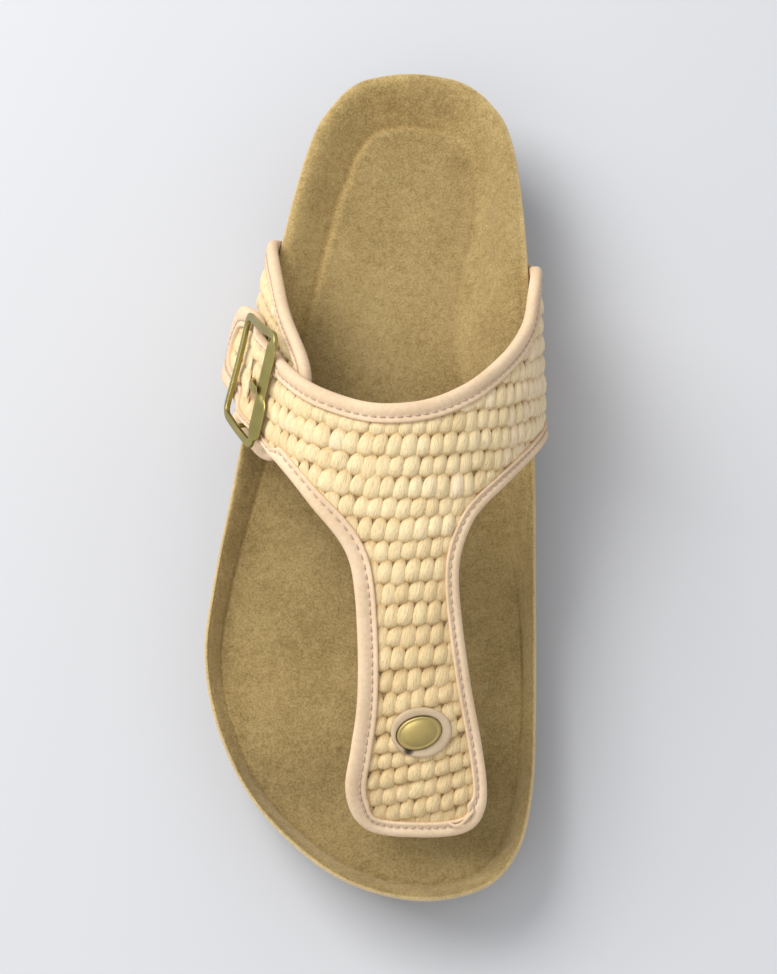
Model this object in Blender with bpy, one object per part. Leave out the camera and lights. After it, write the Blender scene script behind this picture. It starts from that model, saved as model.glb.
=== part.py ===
"""Toe post sandal, right foot, size EU 37: cork footbed, woven T strap with bound edges, buckle and toe post.

Metres, +Z up, toe towards -Y, inner (big toe) side towards +X. Sizes below are millimetres;
s runs along the sandal from the back of the heel (HEEL_BACK) to the tip of the toe (TOE_FRONT).
"""
import math

import bmesh
import bpy
import numpy as np
from mathutils import Vector

for old in list(bpy.data.objects):
    bpy.data.objects.remove(old, do_unlink=True)

MM = 0.001
HEEL_BACK, TOE_FRONT = -3.9, 250.0
X_SHIFT = -0.1
GAP = 0.3


def collection(name):
    made = bpy.data.collections.new(name)
    bpy.context.scene.collection.children.link(made)
    return made


PARTS = collection("toe post sandal")
CUTTERS = collection("cutters")


def place(x, s, z):
    return Vector(((x + X_SHIFT) * MM, ((HEEL_BACK + TOE_FRONT) / 2 - s) * MM, z * MM))


def finish(name, mesh_data, colour, rough, metal=0.0):
    """Weld, turn the faces outward and put the piece in the sandal's collection."""
    bmesh.ops.remove_doubles(mesh_data, verts=mesh_data.verts, dist=1e-6)
    bmesh.ops.triangulate(mesh_data, faces=[f for f in mesh_data.faces if len(f.verts) > 4])
    bmesh.ops.recalc_face_normals(mesh_data, faces=mesh_data.faces)
    mesh = bpy.data.meshes.new(name)
    mesh_data.to_mesh(mesh)
    mesh_data.free()
    piece = bpy.data.objects.new(name, mesh)
    material = bpy.data.materials.new(name)
    material.use_nodes = True
    shader = material.node_tree.nodes["Principled BSDF"]
    shader.inputs["Base Color"].default_value = (*colour, 1.0)
    shader.inputs["Roughness"].default_value = rough
    shader.inputs["Metallic"].default_value = metal
    mesh.materials.append(material)
    PARTS.objects.link(piece)
    return piece


def cut(piece, mesh_data, name):
    """Take the cutter's volume out of a piece."""
    bmesh.ops.recalc_face_normals(mesh_data, faces=mesh_data.faces)
    mesh = bpy.data.meshes.new(name)
    mesh_data.to_mesh(mesh)
    mesh_data.free()
    cutter = bpy.data.objects.new(name, mesh)
    cutter.hide_render = True
    cutter.display_type = "WIRE"
    CUTTERS.objects.link(cutter)
    modifier = piece.modifiers.new(name, "BOOLEAN")
    modifier.operation = "DIFFERENCE"
    modifier.solver = "EXACT"
    modifier.object = cutter


def smooth(table, column, at):
    """Smooth curve through a table's rows (first column against the one asked)."""
    rows = np.array(table, float)
    xs, ys = rows[:, 0], rows[:, column]
    at = np.clip(at, xs[0], xs[-1])
    slope = np.gradient(ys, xs)
    k = np.clip(np.searchsorted(xs, at, side="right") - 1, 0, len(xs) - 2)
    width = xs[k + 1] - xs[k]
    t = (at - xs[k]) / width
    return ((2 * t ** 3 - 3 * t ** 2 + 1) * ys[k] + (t ** 3 - 2 * t ** 2 + t) * width * slope[k]
            + (3 * t ** 2 - 2 * t ** 3) * ys[k + 1] + (t ** 3 - t ** 2) * width * slope[k + 1])


def loft(rings, cap=False, closed=True):
    """Skin rings of equal point count, each a list of world points."""
    data = bmesh.new()
    grid = [[data.verts.new(p) for p in ring] for ring in rings]
    count = len(rings[0])
    for low, high in zip(grid, grid[1:]):
        for i in range(count if closed else count - 1):
            j = (i + 1) % count
            data.faces.new((low[i], low[j], high[j]))
            data.faces.new((low[i], high[j], high[i]))
    if cap:
        data.faces.new(grid[0])
        data.faces.new(grid[-1])
    return data


# Sole outline: rows of s, outer-side x and inner-side x, with the two tips.
HEEL_TIP = (10.2, HEEL_BACK)
TOE_TIP = (13.5, TOE_FRONT)
OUTLINE = (
    (-1.9, -2.9, 23.2), (1, -8.3, 29.3), (6, -13.0, 34.6), (14, -18.3, 39.7), (28, -23.0, 42.9),
    (55, -29.1, 44.7), (90, -35.0, 45.4), (130, -41.9, 46.1), (160, -47.2, 45.9), (180, -49.0, 45.6),
    (200, -45.1, 45.0), (220, -35.6, 43.5), (236, -21.2, 39.3), (246, -5.6, 30.6),
)


def closed_outline():
    inner = [(row[2], row[0]) for row in OUTLINE]
    outer = [(row[1], row[0]) for row in reversed(OUTLINE)]
    points = np.array([HEEL_TIP, *inner, TOE_TIP, *outer])
    ahead, behind = np.roll(points, -1, axis=0), np.roll(points, 1, axis=0)
    chord = np.linalg.norm(ahead - points, axis=1)
    before = np.roll(chord, 1)
    tangent = (ahead - behind) / (chord + before)[:, None]
    dense = []
    for k in range(len(points)):
        n = (k + 1) % len(points)
        for t in np.linspace(0, 1, 40, endpoint=False):
            leaving = (t ** 3 - 2 * t ** 2 + t) * tangent[k]
            arriving = (t ** 3 - t ** 2) * tangent[n]
            blend = 3 * t ** 2 - 2 * t ** 3
            dense.append((1 - blend) * points[k] + blend * points[n] + chord[k] * (leaving + arriving))
    return np.array(dense)


DENSE = closed_outline()
TOE_ROW = int(np.argmin(np.linalg.norm(DENSE - np.array(TOE_TIP), axis=1)))
INNER_EDGE = DENSE[:TOE_ROW + 1]
OUTER_EDGE = np.vstack([DENSE[TOE_ROW:], DENSE[:1]])[::-1]


def edge_x(s, side):
    line = INNER_EDGE if side > 0 else OUTER_EDGE
    return np.interp(s, np.maximum.accumulate(line[:, 1]), line[:, 0])


# Heights: rim of the footbed (s, outer, inner), its floor (s, floor, extra at the middle)
# and the width of the slope from rim to floor (s, outer, inner).
RIM = ((0, 31, 31), (30, 29.5, 31), (60, 28.5, 35), (80, 28.5, 36.5), (100, 28, 35), (130, 25, 27.5),
       (160, 21.5, 22), (185, 20.5, 20.5), (215, 21, 21), (250, 25, 25))
FLOOR = ((0, 21.5, 0), (20, 20.5, -0.4), (45, 20, -0.6), (75, 21.5, 0), (105, 22, 0.5), (130, 20, 1.4),
         (155, 16.5, 0.8), (180, 15, 0.3), (196, 17.2, 0.4), (206, 16.8, 0.3), (216, 15.8, 0), (235, 17.5, 0),
         (250, 20.5, 0))
CUP = ((0, 17, 17), (40, 16, 17), (75, 15, 27), (105, 12, 24), (130, 9, 13), (150, 7, 8), (250, 7, 7))
CUP_PROFILE = ((0.14, 1.0), (0.38, 0.78), (0.62, 0.34), (0.86, 0.06), (1.1, 0.0))
SUEDE_EDGE = 3.2
SUEDE_THICK = 2.0
OUTSOLE_THICK = 8.5
TOE_SPRING, SPRING_FROM = 5.0, 205.0
HEEL_BEVEL, BEVEL_TO = 1.5, 14.0
SPINE_FROM, SPINE_TO = 34.0, 216.0


def spring(s):
    return TOE_SPRING * np.clip((s - SPRING_FROM) / (TOE_FRONT - SPRING_FROM), 0, 1) ** 2


def undercut(s):
    """How far the foot of the cork wall stands inside the rim, more at the toe."""
    t = np.clip((s - 222) / 28, 0, 1)
    return 1.8 + 1.6 * t * t * (3 - 2 * t)


def rim_height(s, side):
    return smooth(RIM, 1 if side < 0 else 2, s)


class Loop:
    """Paired stations up the inner side and down the outer side, with the spine point each one faces."""

    def __init__(self, stations):
        inner = [(edge_x(s, 1), s, 1) for s in stations]
        outer = [(edge_x(s, -1), s, -1) for s in reversed(stations)]
        rows = [(*HEEL_TIP, 0), *inner, (*TOE_TIP, 0), *outer]
        self.edge = np.array([row[:2] for row in rows], float)
        self.side = np.array([row[2] for row in rows])
        s = np.clip(self.edge[:, 1], SPINE_FROM, SPINE_TO)
        self.spine = np.stack([(edge_x(s, 1) + edge_x(s, -1)) / 2, s], axis=1)
        self.reach = np.linalg.norm(self.spine - self.edge, axis=1)

    def column(self, table):
        s = self.edge[:, 1]
        outer, inner = smooth(table, 1, s), smooth(table, 2, s)
        return np.where(self.side > 0, inner, np.where(self.side < 0, outer, (inner + outer) / 2))

    def at(self, inset):
        share = np.clip(inset / self.reach, 0, 1)[:, None]
        return self.edge + (self.spine - self.edge) * share

    def ring(self, flat, z):
        z = np.broadcast_to(z, len(flat))
        return [place(x, s, h) for (x, s), h in zip(flat, z)]


BED = Loop([-3.3, -1.9, 0.6, 4.5, 10, 17, 26, 35, 48, 64, 80, 96, 112, 128, 143, 157, 169, 180, 190, 198,
            206, 215, 224, 231.5, 238, 243, 246.6, 249])
BED_RIM = BED.column(RIM)
BED_CUP = np.minimum(BED.column(CUP), 0.8 * BED.reach)
BED_FLOOR = smooth(FLOOR, 1, BED.edge[:, 1])


def bed_rings(drop):
    """Rings of the footbed's hollow from the spine out to the rim, lowered by drop at the floor."""
    spine_s = BED.spine[:, 1]
    middle = smooth(FLOOR, 1, spine_s) + smooth(FLOOR, 2, spine_s)
    foot = BED.at(BED_CUP * CUP_PROFILE[-1][0])
    rings = [BED.ring(BED.spine, middle - drop)]
    if not drop:
        rings.append(BED.ring((foot + BED.spine) / 2, BED_FLOOR + 0.62 * (middle - BED_FLOOR)))
    for share, height in reversed(CUP_PROFILE):
        lower = drop + (SUEDE_EDGE - SUEDE_THICK) * (height if drop else 0) * 0.8
        rings.append(BED.ring(BED.at(np.maximum(BED_CUP * share, 1.3)),
                              BED_FLOOR + (BED_RIM - BED_FLOOR) * height - lower))
    return rings


def insole():
    top = bed_rings(0.0) + [BED.ring(BED.at(0.7), BED_RIM - 0.1), BED.ring(BED.at(0.0), BED_RIM - 0.9)]
    edge = BED.ring(BED.at(0.3), BED_RIM - SUEDE_EDGE)
    data = loft(top + [edge] + bed_rings(SUEDE_THICK)[::-1])
    return finish("insole", data, (0.42, 0.33, 0.19), 0.9)


def midsole():
    top = bed_rings(SUEDE_THICK + GAP)
    s = BED.edge[:, 1]
    base = OUTSOLE_THICK + GAP + spring(s)
    crest = BED_RIM - SUEDE_EDGE - GAP
    sides = [BED.ring(BED.at(0.35), crest), BED.ring(BED.at(0.35 + 0.35 * undercut(s)), (crest + base) / 2),
             BED.ring(BED.at(undercut(s)), base)]
    floor = BED.ring(BED.spine, OUTSOLE_THICK + GAP + spring(BED.spine[:, 1]))
    return finish("midsole", loft((top + sides + [floor])[::-1]), (0.07, 0.04, 0.025), 0.8)


LUG_PITCH = 10.4
NOTCH_DEPTH = 1.5
NOTCH_REACH = 8.0


def outsole():
    step = LUG_PITCH / 4
    lugs = [13 + step * k for k in range(87)]
    loop = Loop([-3.3, -1.9, 0.6, 4.5, 9, *lugs, 239.5, 242.5, 245.3, 247.8, 249.3])
    s = loop.edge[:, 1]
    bevel = HEEL_BEVEL * np.clip((BEVEL_TO - s) / (BEVEL_TO - HEEL_BACK), 0, 1) ** 2
    low = bevel + spring(s)
    row = np.rint((s - 13) / step).astype(int)
    notch = np.where((s >= 13) & (s < 237.0) & (row % 4 == 3), NOTCH_DEPTH, 0.0)
    inset = undercut(s)
    rings = [loop.ring(loop.spine, spring(loop.spine[:, 1])),
             loop.ring(loop.at(inset + NOTCH_REACH), spring(s) + 0.4 * bevel),
             loop.ring(loop.at(inset + 1.0), low + notch),
             loop.ring(loop.at(inset - 0.1), spring(s) + OUTSOLE_THICK),
             loop.ring(loop.spine, spring(loop.spine[:, 1]) + OUTSOLE_THICK)]
    return finish("outsole", loft(rings), (0.36, 0.27, 0.13), 0.85)


# The last under the straps. The crest (s, x, height) runs over the middle of the instep; sections leave it
# leaning back towards the heel, more on the outer side, and turn down the side of the footbed.
CREST = ((60, -0.6, 83.0), (85, 1.2, 80.5), (105, 2.6, 76.0), (125, 4.0, 71.0), (145, 5.4, 65.0),
         (166, 6.8, 58.5), (184, 8.1, 52.0), (206, 9.6, 42.5), (224, 10.9, 33.0), (233, 11.5, 26.0),
         (245, 12.3, 15.0))
BACK_LEAN = {1: 0.6, -1: 1.1}
SIDE_LEAN = ((60, 0.0, 0.02), (100, 0.05, 0.03), (125, 0.15, 0.05), (150, 0.25, 0.1), (245, 0.25, 0.1))
WALL_LEAN = 0.6
WALL_GAP = 0.25
STRAP_FOOT = OUTSOLE_THICK + 2 * GAP
SECTION_FROM, SECTION_TO = 70, 242


def last_section(crest_s, side):
    """Points down one side of the last from the crest, and their running length."""
    xc, zc = smooth(CREST, 1, crest_s), smooth(CREST, 2, crest_s)
    turn = 30.0
    for _ in range(8):
        s_side = crest_s - BACK_LEAN[side] * (zc - turn)
        turn = float(rim_height(s_side, side)) + 2.5
    xs = float(edge_x(s_side, side)) + side * WALL_GAP
    across, drop = abs(xs - xc), zc - turn
    lean = float(smooth(SIDE_LEAN, 1 if side < 0 else 2, crest_s))
    corners = np.array([(xc, zc), (xc + side * 0.55 * across, zc),
                        (xs - side * lean * across, turn + 0.52 * drop), (xs, turn)])
    t = np.linspace(0, 1, 121)[:, None]
    arch = ((1 - t) ** 3 * corners[0] + 3 * (1 - t) ** 2 * t * corners[1]
            + 3 * (1 - t) * t ** 2 * corners[2] + t ** 3 * corners[3])
    arch_s = crest_s - BACK_LEAN[side] * (zc - arch[:, 1])
    wall_z = np.linspace(turn, STRAP_FOOT, 30)[1:]
    wall_s = arch_s[-1] - WALL_LEAN * (turn - wall_z)
    wall_x = edge_x(wall_s, side) + side * (WALL_GAP - 1.8 * (turn - wall_z) / (turn - OUTSOLE_THICK))
    points = np.vstack([np.stack([arch[:, 0], arch_s, arch[:, 1]], axis=1),
                        np.stack([wall_x, wall_s, wall_z], axis=1)])
    length = np.concatenate([[0], np.cumsum(np.linalg.norm(np.diff(points, axis=0), axis=1))])
    # round the bend over the rim
    even = np.arange(0, length[-1] + 1, 1.0)
    mirrored = np.concatenate([-even[6:0:-1], even])
    line = np.stack([np.interp(np.abs(mirrored), length, points[:, c]) for c in range(3)], axis=1)
    line[:6, 0] = 2 * xc - line[:6, 0]
    weight = np.exp(-0.5 * (np.arange(-6, 7) / 2.0) ** 2)
    weight /= weight.sum()
    rounded = points.copy()
    for c in range(3):
        soft = np.convolve(line[:, c], weight, mode="valid")
        kept = np.interp(length, even[:len(soft)], soft)
        rounded[:, c] = np.where(length < even[len(soft) - 1], kept, points[:, c])
    length = np.concatenate([[0], np.cumsum(np.linalg.norm(np.diff(rounded, axis=0), axis=1))])
    return rounded, length


SECTIONS = {side: [last_section(s, side) for s in range(SECTION_FROM, SECTION_TO + 1)] for side in (1, -1)}


def last_point(s, p):
    """Point of the last at crest station s and distance p across it (outer side negative)."""
    rows = SECTIONS[1 if p >= 0 else -1]
    f = min(max(s - SECTION_FROM, 0.0), len(rows) - 1.001)
    k = int(f)
    ends = []
    for points, length in (rows[k], rows[k + 1]):
        q = abs(p)
        if q > length[-1]:
            step = (points[-1] - points[-2]) / np.linalg.norm(points[-1] - points[-2])
            ends.append(points[-1] + step * (q - length[-1]))
        else:
            ends.append(np.array([np.interp(q, length, points[:, c]) for c in range(3)]))
    return ends[0] * (1 - f + k) + ends[1] * (f - k)


def on_last(s, p, lift):
    """World point at a height above the last, along its outward normal."""
    e = 1.0
    along = last_point(s + e, p) - last_point(s - e, p)
    across = last_point(s, p + e) - last_point(s, p - e)
    normal = np.cross(along, across)
    normal /= np.linalg.norm(normal)
    x, station, z = last_point(s, p)
    # s runs towards -Y, so the cross product in (x, s, z) turns its hand
    out = -normal
    return place(x + out[0] * lift, station + out[1] * lift, z + out[2] * lift)


def foot(s, side):
    """Distance across the last to the strap's end at the outsole."""
    k = int(round(min(max(s, SECTION_FROM), SECTION_TO))) - SECTION_FROM
    return side * float(SECTIONS[side][k][1][-1])


# Flat patterns: rows of crest station s and distance across p, along the outer edge of the binding.
T_EDGE = (
    (92, None), (91.5, 78), (91.3, 65), (96.5, 56.5), (103.5, 50), (109, 41.5), (114.5, 31), (119.3, 21),
    (122.8, 10), (123.8, -1), (123.2, -13), (122, -26), (120.8, -40), (118.3, -57), (118.9, -65), (122, -72),
    (128, -76.5), (135, -77.5), (140.5, -74.5), (143.6, -68), (144.1, -56), (146.2, -40), (149.6, -28.5),
    (155.5, -20), (161.5, -14.8), (168, -12.7), (184, -12.5), (200, -13.7), (212, -16.2), (220.5, -18.1),
    (227, -16.6), (231, -11.5), (232, -1), (231.6, 11), (229.3, 16.4), (224, 18.9), (212, 18.4), (196, 16.3),
    (180, 15), (168, 15.1), (160.5, 17.2), (153.5, 22), (147.5, 32), (142.5, 45), (140, 58), (139, 72),
    (139, None),
)
LATERAL_EDGE = (
    (105.5, None), (105, -92), (104, -78), (105.6, -57), (110.6, -42.8), (114.8, -32), (118.8, -26.9),
    (123.5, -25.6), (130, -28.5), (142, -35), (147.5, -40.5), (150.6, -46.5), (151.8, -54), (151.3, -66),
    (150.5, -80), (150, None),
)
PANEL_THICK = 1.4
PANEL_LIFT = 1.1
OVERLAP_LIFT = 4.7
COURSE_PITCH = 5.3
COURSE_HEIGHT = 0.5
PANEL_STEP = 7.0
TAPE_WRAP = 1.1
TAPE_WIDTH = 5.3
TAPE = ((TAPE_WIDTH, -0.3), (TAPE_WIDTH, -0.8), (0.6, -0.8), (0.0, 0.7), (0.6, 2.2), (TAPE_WIDTH, 2.1),
        (TAPE_WIDTH, 1.7), (0.8, 1.7), (0.8, -0.3))

# Buckle corners on the flat pattern (s, p): nose bar rear and front, outer bar rear and front.
NOSE_REAR, NOSE_FRONT = (115.7, -33.8), (147.2, -45.8)
OUTER_REAR, OUTER_FRONT = (118.4, -57.3), (147.0, -66.5)
BAR_LIFT = 4.7
BAR_RADIUS = 0.7
# the frame lies on the T strap's tape
FRAME_LIFT = OVERLAP_LIFT + 3.0
# The T strap's rise over the centre bar, and that of its free tip past the outer bar.
BUMP_HEIGHT = 2.0
BUMP_REACH = 9.8
TIP_RISE = 2.0
TIP_FROM = 1.6
TIP_REACH = 9.0


def bar_line(s):
    """Distance across at the buckle's centre bar."""
    share = (s - NOSE_REAR[0]) / (NOSE_FRONT[0] - NOSE_REAR[0])
    nose = NOSE_REAR[1] + share * (NOSE_FRONT[1] - NOSE_REAR[1])
    outer = OUTER_REAR[1] + share * (OUTER_FRONT[1] - OUTER_REAR[1])
    return (nose + outer) / 2


def tip_rise(s, p):
    """How far the free tip of the T strap stands off, once past the buckle's outer bar."""
    share = (s - OUTER_REAR[0]) / (OUTER_FRONT[0] - OUTER_REAR[0])
    outer = OUTER_REAR[1] + share * (OUTER_FRONT[1] - OUTER_REAR[1])
    t = min(max((outer - p - TIP_FROM) / TIP_REACH, 0.0), 1.0)
    return TIP_RISE * t * t * (3 - 2 * t)


def t_lift(s, p):
    """Underside of the T strap over the last: it climbs over the outer strap and the buckle's centre bar."""
    t = min(max((-p - 8.0) / 14.0, 0.0), 1.0)
    rise = t * t * (3 - 2 * t) * (OVERLAP_LIFT - PANEL_LIFT)
    off = abs(p - bar_line(s)) / BUMP_REACH
    bump = BUMP_HEIGHT * math.cos(off * math.pi / 2) ** 2 if off < 1 and p < -25 else 0.0
    return PANEL_LIFT + rise + bump + tip_rise(s, p)


def lateral_lift(s, p):
    return PANEL_LIFT


def edge_path(rows, side_of_ends, closer):
    """Sample a pattern edge: close together on bends and where the strap climbs, wider apart on straights."""
    points = []
    for s, p in rows:
        points.append((s, foot(s, side_of_ends) if p is None else p))
    points = np.array(points, float)
    chord = np.linalg.norm(np.diff(points, axis=0), axis=1)
    tangent = np.zeros_like(points)
    tangent[1:-1] = (points[2:] - points[:-2]) / (chord[1:] + chord[:-1])[:, None]
    tangent[0] = (points[1] - points[0]) / chord[0]
    tangent[-1] = (points[-1] - points[-2]) / chord[-1]
    dense = []
    for k in range(len(points) - 1):
        for t in np.linspace(0, 1, 40, endpoint=False):
            dense.append((2 * t ** 3 - 3 * t ** 2 + 1) * points[k] + (3 * t ** 2 - 2 * t ** 3) * points[k + 1]
                         + chord[k] * ((t ** 3 - 2 * t ** 2 + t) * tangent[k]
                                       + (t ** 3 - t ** 2) * tangent[k + 1]))
    dense.append(points[-1])
    dense = np.array(dense)
    kept, run, turn = [0], 0.0, 0.0
    for k in range(1, len(dense) - 1):
        a, b = dense[k] - dense[k - 1], dense[k + 1] - dense[k]
        run += np.linalg.norm(a)
        turn += abs(math.atan2(a[0] * b[1] - a[1] * b[0], a @ b))
        longest = PANEL_STEP / closer(*dense[k])
        if run >= longest or turn >= math.radians(17) and run >= 1.5:
            kept.append(k)
            run, turn = 0.0, 0.0
    if np.linalg.norm(dense[-1] - dense[kept[-1]]) < 2.0:
        kept.pop()
    kept.append(len(dense) - 1)
    path = dense[kept]
    tangent = np.gradient(path, axis=0)
    tangent /= np.linalg.norm(tangent, axis=1)[:, None]
    tangent[0] = (0, np.sign(tangent[0][1]))
    tangent[-1] = (0, np.sign(tangent[-1][1]))
    inward = np.stack([-tangent[:, 1], tangent[:, 0]], axis=1)
    # the pattern lies inside the edge: turn the normals to the middle of the ends
    middle = (path[0] + path[-1]) / 2
    if (middle - path[0]) @ inward[0] < 0:
        inward = -inward
    return path, inward


def panel(name, path, inward, side_of_ends, lift, colour):
    """Woven wall: a plain margin under the binding and raised courses inside it."""
    rim = path + inward * TAPE_WRAP
    margin = path + inward * (TAPE_WIDTH + 0.6)
    for line in (rim, margin):
        for end in (0, -1):
            line[end][1] = foot(line[end][0], side_of_ends)
    flat = bmesh.new()
    outer = [flat.verts.new((p, s, 0)) for s, p in rim]
    inner = [flat.verts.new((p, s, 0)) for s, p in margin]
    for k in range(len(path) - 1):
        flat.faces.new((outer[k], outer[k + 1], inner[k + 1], inner[k]))
    hem = [flat.verts.new((foot(s, side_of_ends), s, 0))
           for s in np.linspace(margin[-1][0], margin[0][0], 7)[1:-1]]
    field = [flat.faces.new(inner + hem)]
    low, high = margin[:, 0].min(), margin[:, 0].max()
    lines = [((0, COURSE_PITCH / 2 * k, 0), (0, 1, 0))
             for k in range(int(low / COURSE_PITCH * 2), int(high / COURSE_PITCH * 2) + 2)]
    lines += [((PANEL_STEP * k, 0, 0), (1, 0, 0)) for k in range(-15, 16) if abs(k) < 3 or k % 2 or k < 0]
    if lift is t_lift:
        lines += [((PANEL_STEP * (k + 0.5), 0, 0), (1, 0, 0)) for k in range(-11, -1)]
    for point, normal in lines:
        halfway = point[0] % PANEL_STEP > 1
        chosen = [f for f in field if not halfway or f.calc_center_median().y < 158]
        edges = {e for f in chosen for e in f.edges}
        verts = {v for f in chosen for v in f.verts}
        done = bmesh.ops.bisect_plane(flat, geom=chosen + list(edges) + list(verts), dist=0.02,
                                      plane_co=point, plane_no=normal)
        field = [f for f in field if f not in chosen]
        field += [g for g in done["geom"] if isinstance(g, bmesh.types.BMFace)]
    bordering = {v for v in flat.verts if any(f not in field for f in v.link_faces)}
    data = bmesh.new()
    top, under = {}, {}
    for v in flat.verts:
        p, s = v.co.x, v.co.y
        wave = 0.5 - 0.5 * math.cos(2 * math.pi * s / COURSE_PITCH)
        rib = 0.0 if v in bordering else COURSE_HEIGHT * wave
        base = lift(s, p)
        top[v] = data.verts.new(on_last(s, p, base + PANEL_THICK + rib))
        under[v] = data.verts.new(on_last(s, p, base))
    for f in flat.faces:
        data.faces.new([top[v] for v in f.verts])
        data.faces.new([under[v] for v in reversed(f.verts)])
    for e in flat.edges:
        if e.is_boundary:
            a, b = e.verts
            data.faces.new((top[a], top[b], under[b], under[a]))
    flat.free()
    bmesh.ops.triangulate(data, faces=data.faces)
    return finish(name, data, colour, 0.85)


def binding(name, path, inward, side_of_ends, lift, colour):
    """Folded tape round a pattern's edge, with a slot that takes the wall."""
    rings = []
    for k, ((s, p), n) in enumerate(zip(path, inward)):
        ring = []
        for inset, height in TAPE:
            rs, rp = s + n[0] * inset, p + n[1] * inset
            if k in (0, len(path) - 1):
                rp = foot(rs, side_of_ends)
            ring.append(on_last(rs, rp, lift(rs, rp) + height))
        rings.append(ring)
    return finish(name, loft(rings, cap=True), colour, 0.7)


def strip(path, widths, low, high, closed=False):
    """Bar along a pattern path: half widths each side, from one height over the last to another."""
    path = np.array(path, float)
    if closed:
        tangent = np.roll(path, -1, axis=0) - np.roll(path, 1, axis=0)
    else:
        tangent = np.gradient(path, axis=0)
    tangent /= np.linalg.norm(tangent, axis=1)[:, None]
    normal = np.stack([-tangent[:, 1], tangent[:, 0]], axis=1)
    rings = []
    for (s, p), n, (left, right), lo, hi in zip(path, normal, widths, low, high):
        corners = ((-left, lo), (right, lo), (right, hi), (-left, hi))
        rings.append([on_last(s + n[0] * w, p + n[1] * w, h) for w, h in corners])
    return loft(rings + rings[:1] if closed else rings, cap=not closed)


CORNER_RADII = (1.6, 1.6, 3.4, 3.4)
# half widths to each side of a bar's line, into the frame's window and away from it
RAIL_HALVES = (1.0, 1.1)
NOSE_REAR_HALVES = (1.5, 1.9)
NOSE_FRONT_HALVES = (3.0, 1.5)
RAIL_HIGH = 1.5
NOSE_HIGH = 1.9
# rings along a bar, as shares of its length, and the share at which the nose bar steps
NOSE_STEPS = (0.12, 0.33, 0.54, 0.6, 0.74, 0.9)
RAIL_STEPS = (0.25, 0.5, 0.75)
NOSE_STEP_AT = 0.57


def buckle_frame():
    """Rounded frame with thin rails and a wide nose bar that is stepped at the middle for the prong."""
    corners = [np.array(c) for c in (NOSE_REAR, NOSE_FRONT, OUTER_FRONT, OUTER_REAR)]
    path, halves, high = [], [], []
    for k, corner in enumerate(corners):
        back, ahead = corners[k - 1], corners[(k + 1) % 4]
        to_back = (back - corner) / np.linalg.norm(back - corner)
        to_ahead = (ahead - corner) / np.linalg.norm(ahead - corner)
        start, end = corner + to_back * CORNER_RADII[k], corner + to_ahead * CORNER_RADII[k]
        for t in (0.0, 0.33, 0.67, 1.0):
            path.append((1 - t) ** 2 * start + 2 * t * (1 - t) * corner + t * t * end)
            halves.append(RAIL_HALVES)
            high.append(FRAME_LIFT + RAIL_HIGH)
        far = ahead - to_ahead * CORNER_RADII[(k + 1) % 4]
        for t in NOSE_STEPS if k == 0 else RAIL_STEPS:
            path.append(end + (far - end) * t)
            nose_halves = NOSE_REAR_HALVES if t < NOSE_STEP_AT else NOSE_FRONT_HALVES
            halves.append(nose_halves if k == 0 else RAIL_HALVES)
            high.append(FRAME_LIFT + (NOSE_HIGH if k == 0 else RAIL_HIGH))
    data = strip(path, halves, [FRAME_LIFT] * len(path), high, closed=True)
    return finish("buckle_frame", data, (0.45, 0.38, 0.16), 0.25, 1.0)


# stations and heights along the centre bar, from rail to rail
RAIL_MIDDLE = FRAME_LIFT + RAIL_HIGH / 2
CENTRE_BAR = (
    (117.0, RAIL_MIDDLE), (117.6, RAIL_MIDDLE), (118.9, BAR_LIFT), (125.0, BAR_LIFT), (132.0, BAR_LIFT),
    (138.5, BAR_LIFT), (145.0, BAR_LIFT), (146.5, RAIL_MIDDLE), (147.1, RAIL_MIDDLE),
)


def centre_bar():
    """Bar from rail to rail that dips under the T strap and carries the prong."""
    rings = []
    for s, height in CENTRE_BAR:
        rings.append([on_last(s, bar_line(s) + BAR_RADIUS * math.cos(a), height + BAR_RADIUS * math.sin(a))
                      for a in np.linspace(0, 2 * math.pi, 8, endpoint=False)])
    return loft(rings, cap=True)


def join(piece, mesh_data, name):
    """Add a body to a piece as one solid."""
    bmesh.ops.recalc_face_normals(mesh_data, faces=mesh_data.faces)
    mesh = bpy.data.meshes.new(name)
    mesh_data.to_mesh(mesh)
    mesh_data.free()
    other = bpy.data.objects.new(name, mesh)
    other.hide_render = True
    other.display_type = "WIRE"
    CUTTERS.objects.link(other)
    modifier = piece.modifiers.new(name, "BOOLEAN")
    modifier.operation = "UNION"
    modifier.solver = "EXACT"
    modifier.object = other


PRONG_S = 132.0
PRONG_HALF = 0.9
EYE_RADIUS = 1.5
EYE_BORE = 1.05
# rows of distance from the centre bar and height over the last, along the tongue
TONGUE_UNDER = ((2.2, 6.1), (6.3, 9.6), (8.6, 10.1), (10.4, 10.1))
TONGUE_TOP = ((10.4, 10.8), (8.4, 10.9), (6.3, 10.5), (2.4, 7.2))
SLOT_HALF = 1.5
SLOT_FROM, SLOT_TO = 0.2, 6.6
SLOT_LOW, SLOT_HIGH = 5.9, 11.5


def buckle_prong():
    """Eye round the centre bar and a tongue up through the tab and onto the nose bar."""
    middle = bar_line(PRONG_S)
    turns = np.linspace(math.radians(60), math.radians(330), 9)
    profile = [(middle + EYE_RADIUS * math.cos(a), BAR_LIFT + EYE_RADIUS * math.sin(a)) for a in turns]
    inner = [(middle + EYE_BORE * math.cos(a), BAR_LIFT + EYE_BORE * math.sin(a)) for a in turns[::-1]]
    tongue = [(middle + away, height) for away, height in TONGUE_UNDER + TONGUE_TOP]
    # outline: round the eye's outside, along its inside, then out and back along the tongue
    outline = profile + inner + tongue
    rings = [[on_last(PRONG_S + w, p, h) for p, h in outline] for w in (-PRONG_HALF, PRONG_HALF)]
    return finish("buckle_prong", loft(rings, cap=True), (0.45, 0.38, 0.16), 0.25, 1.0)


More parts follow.
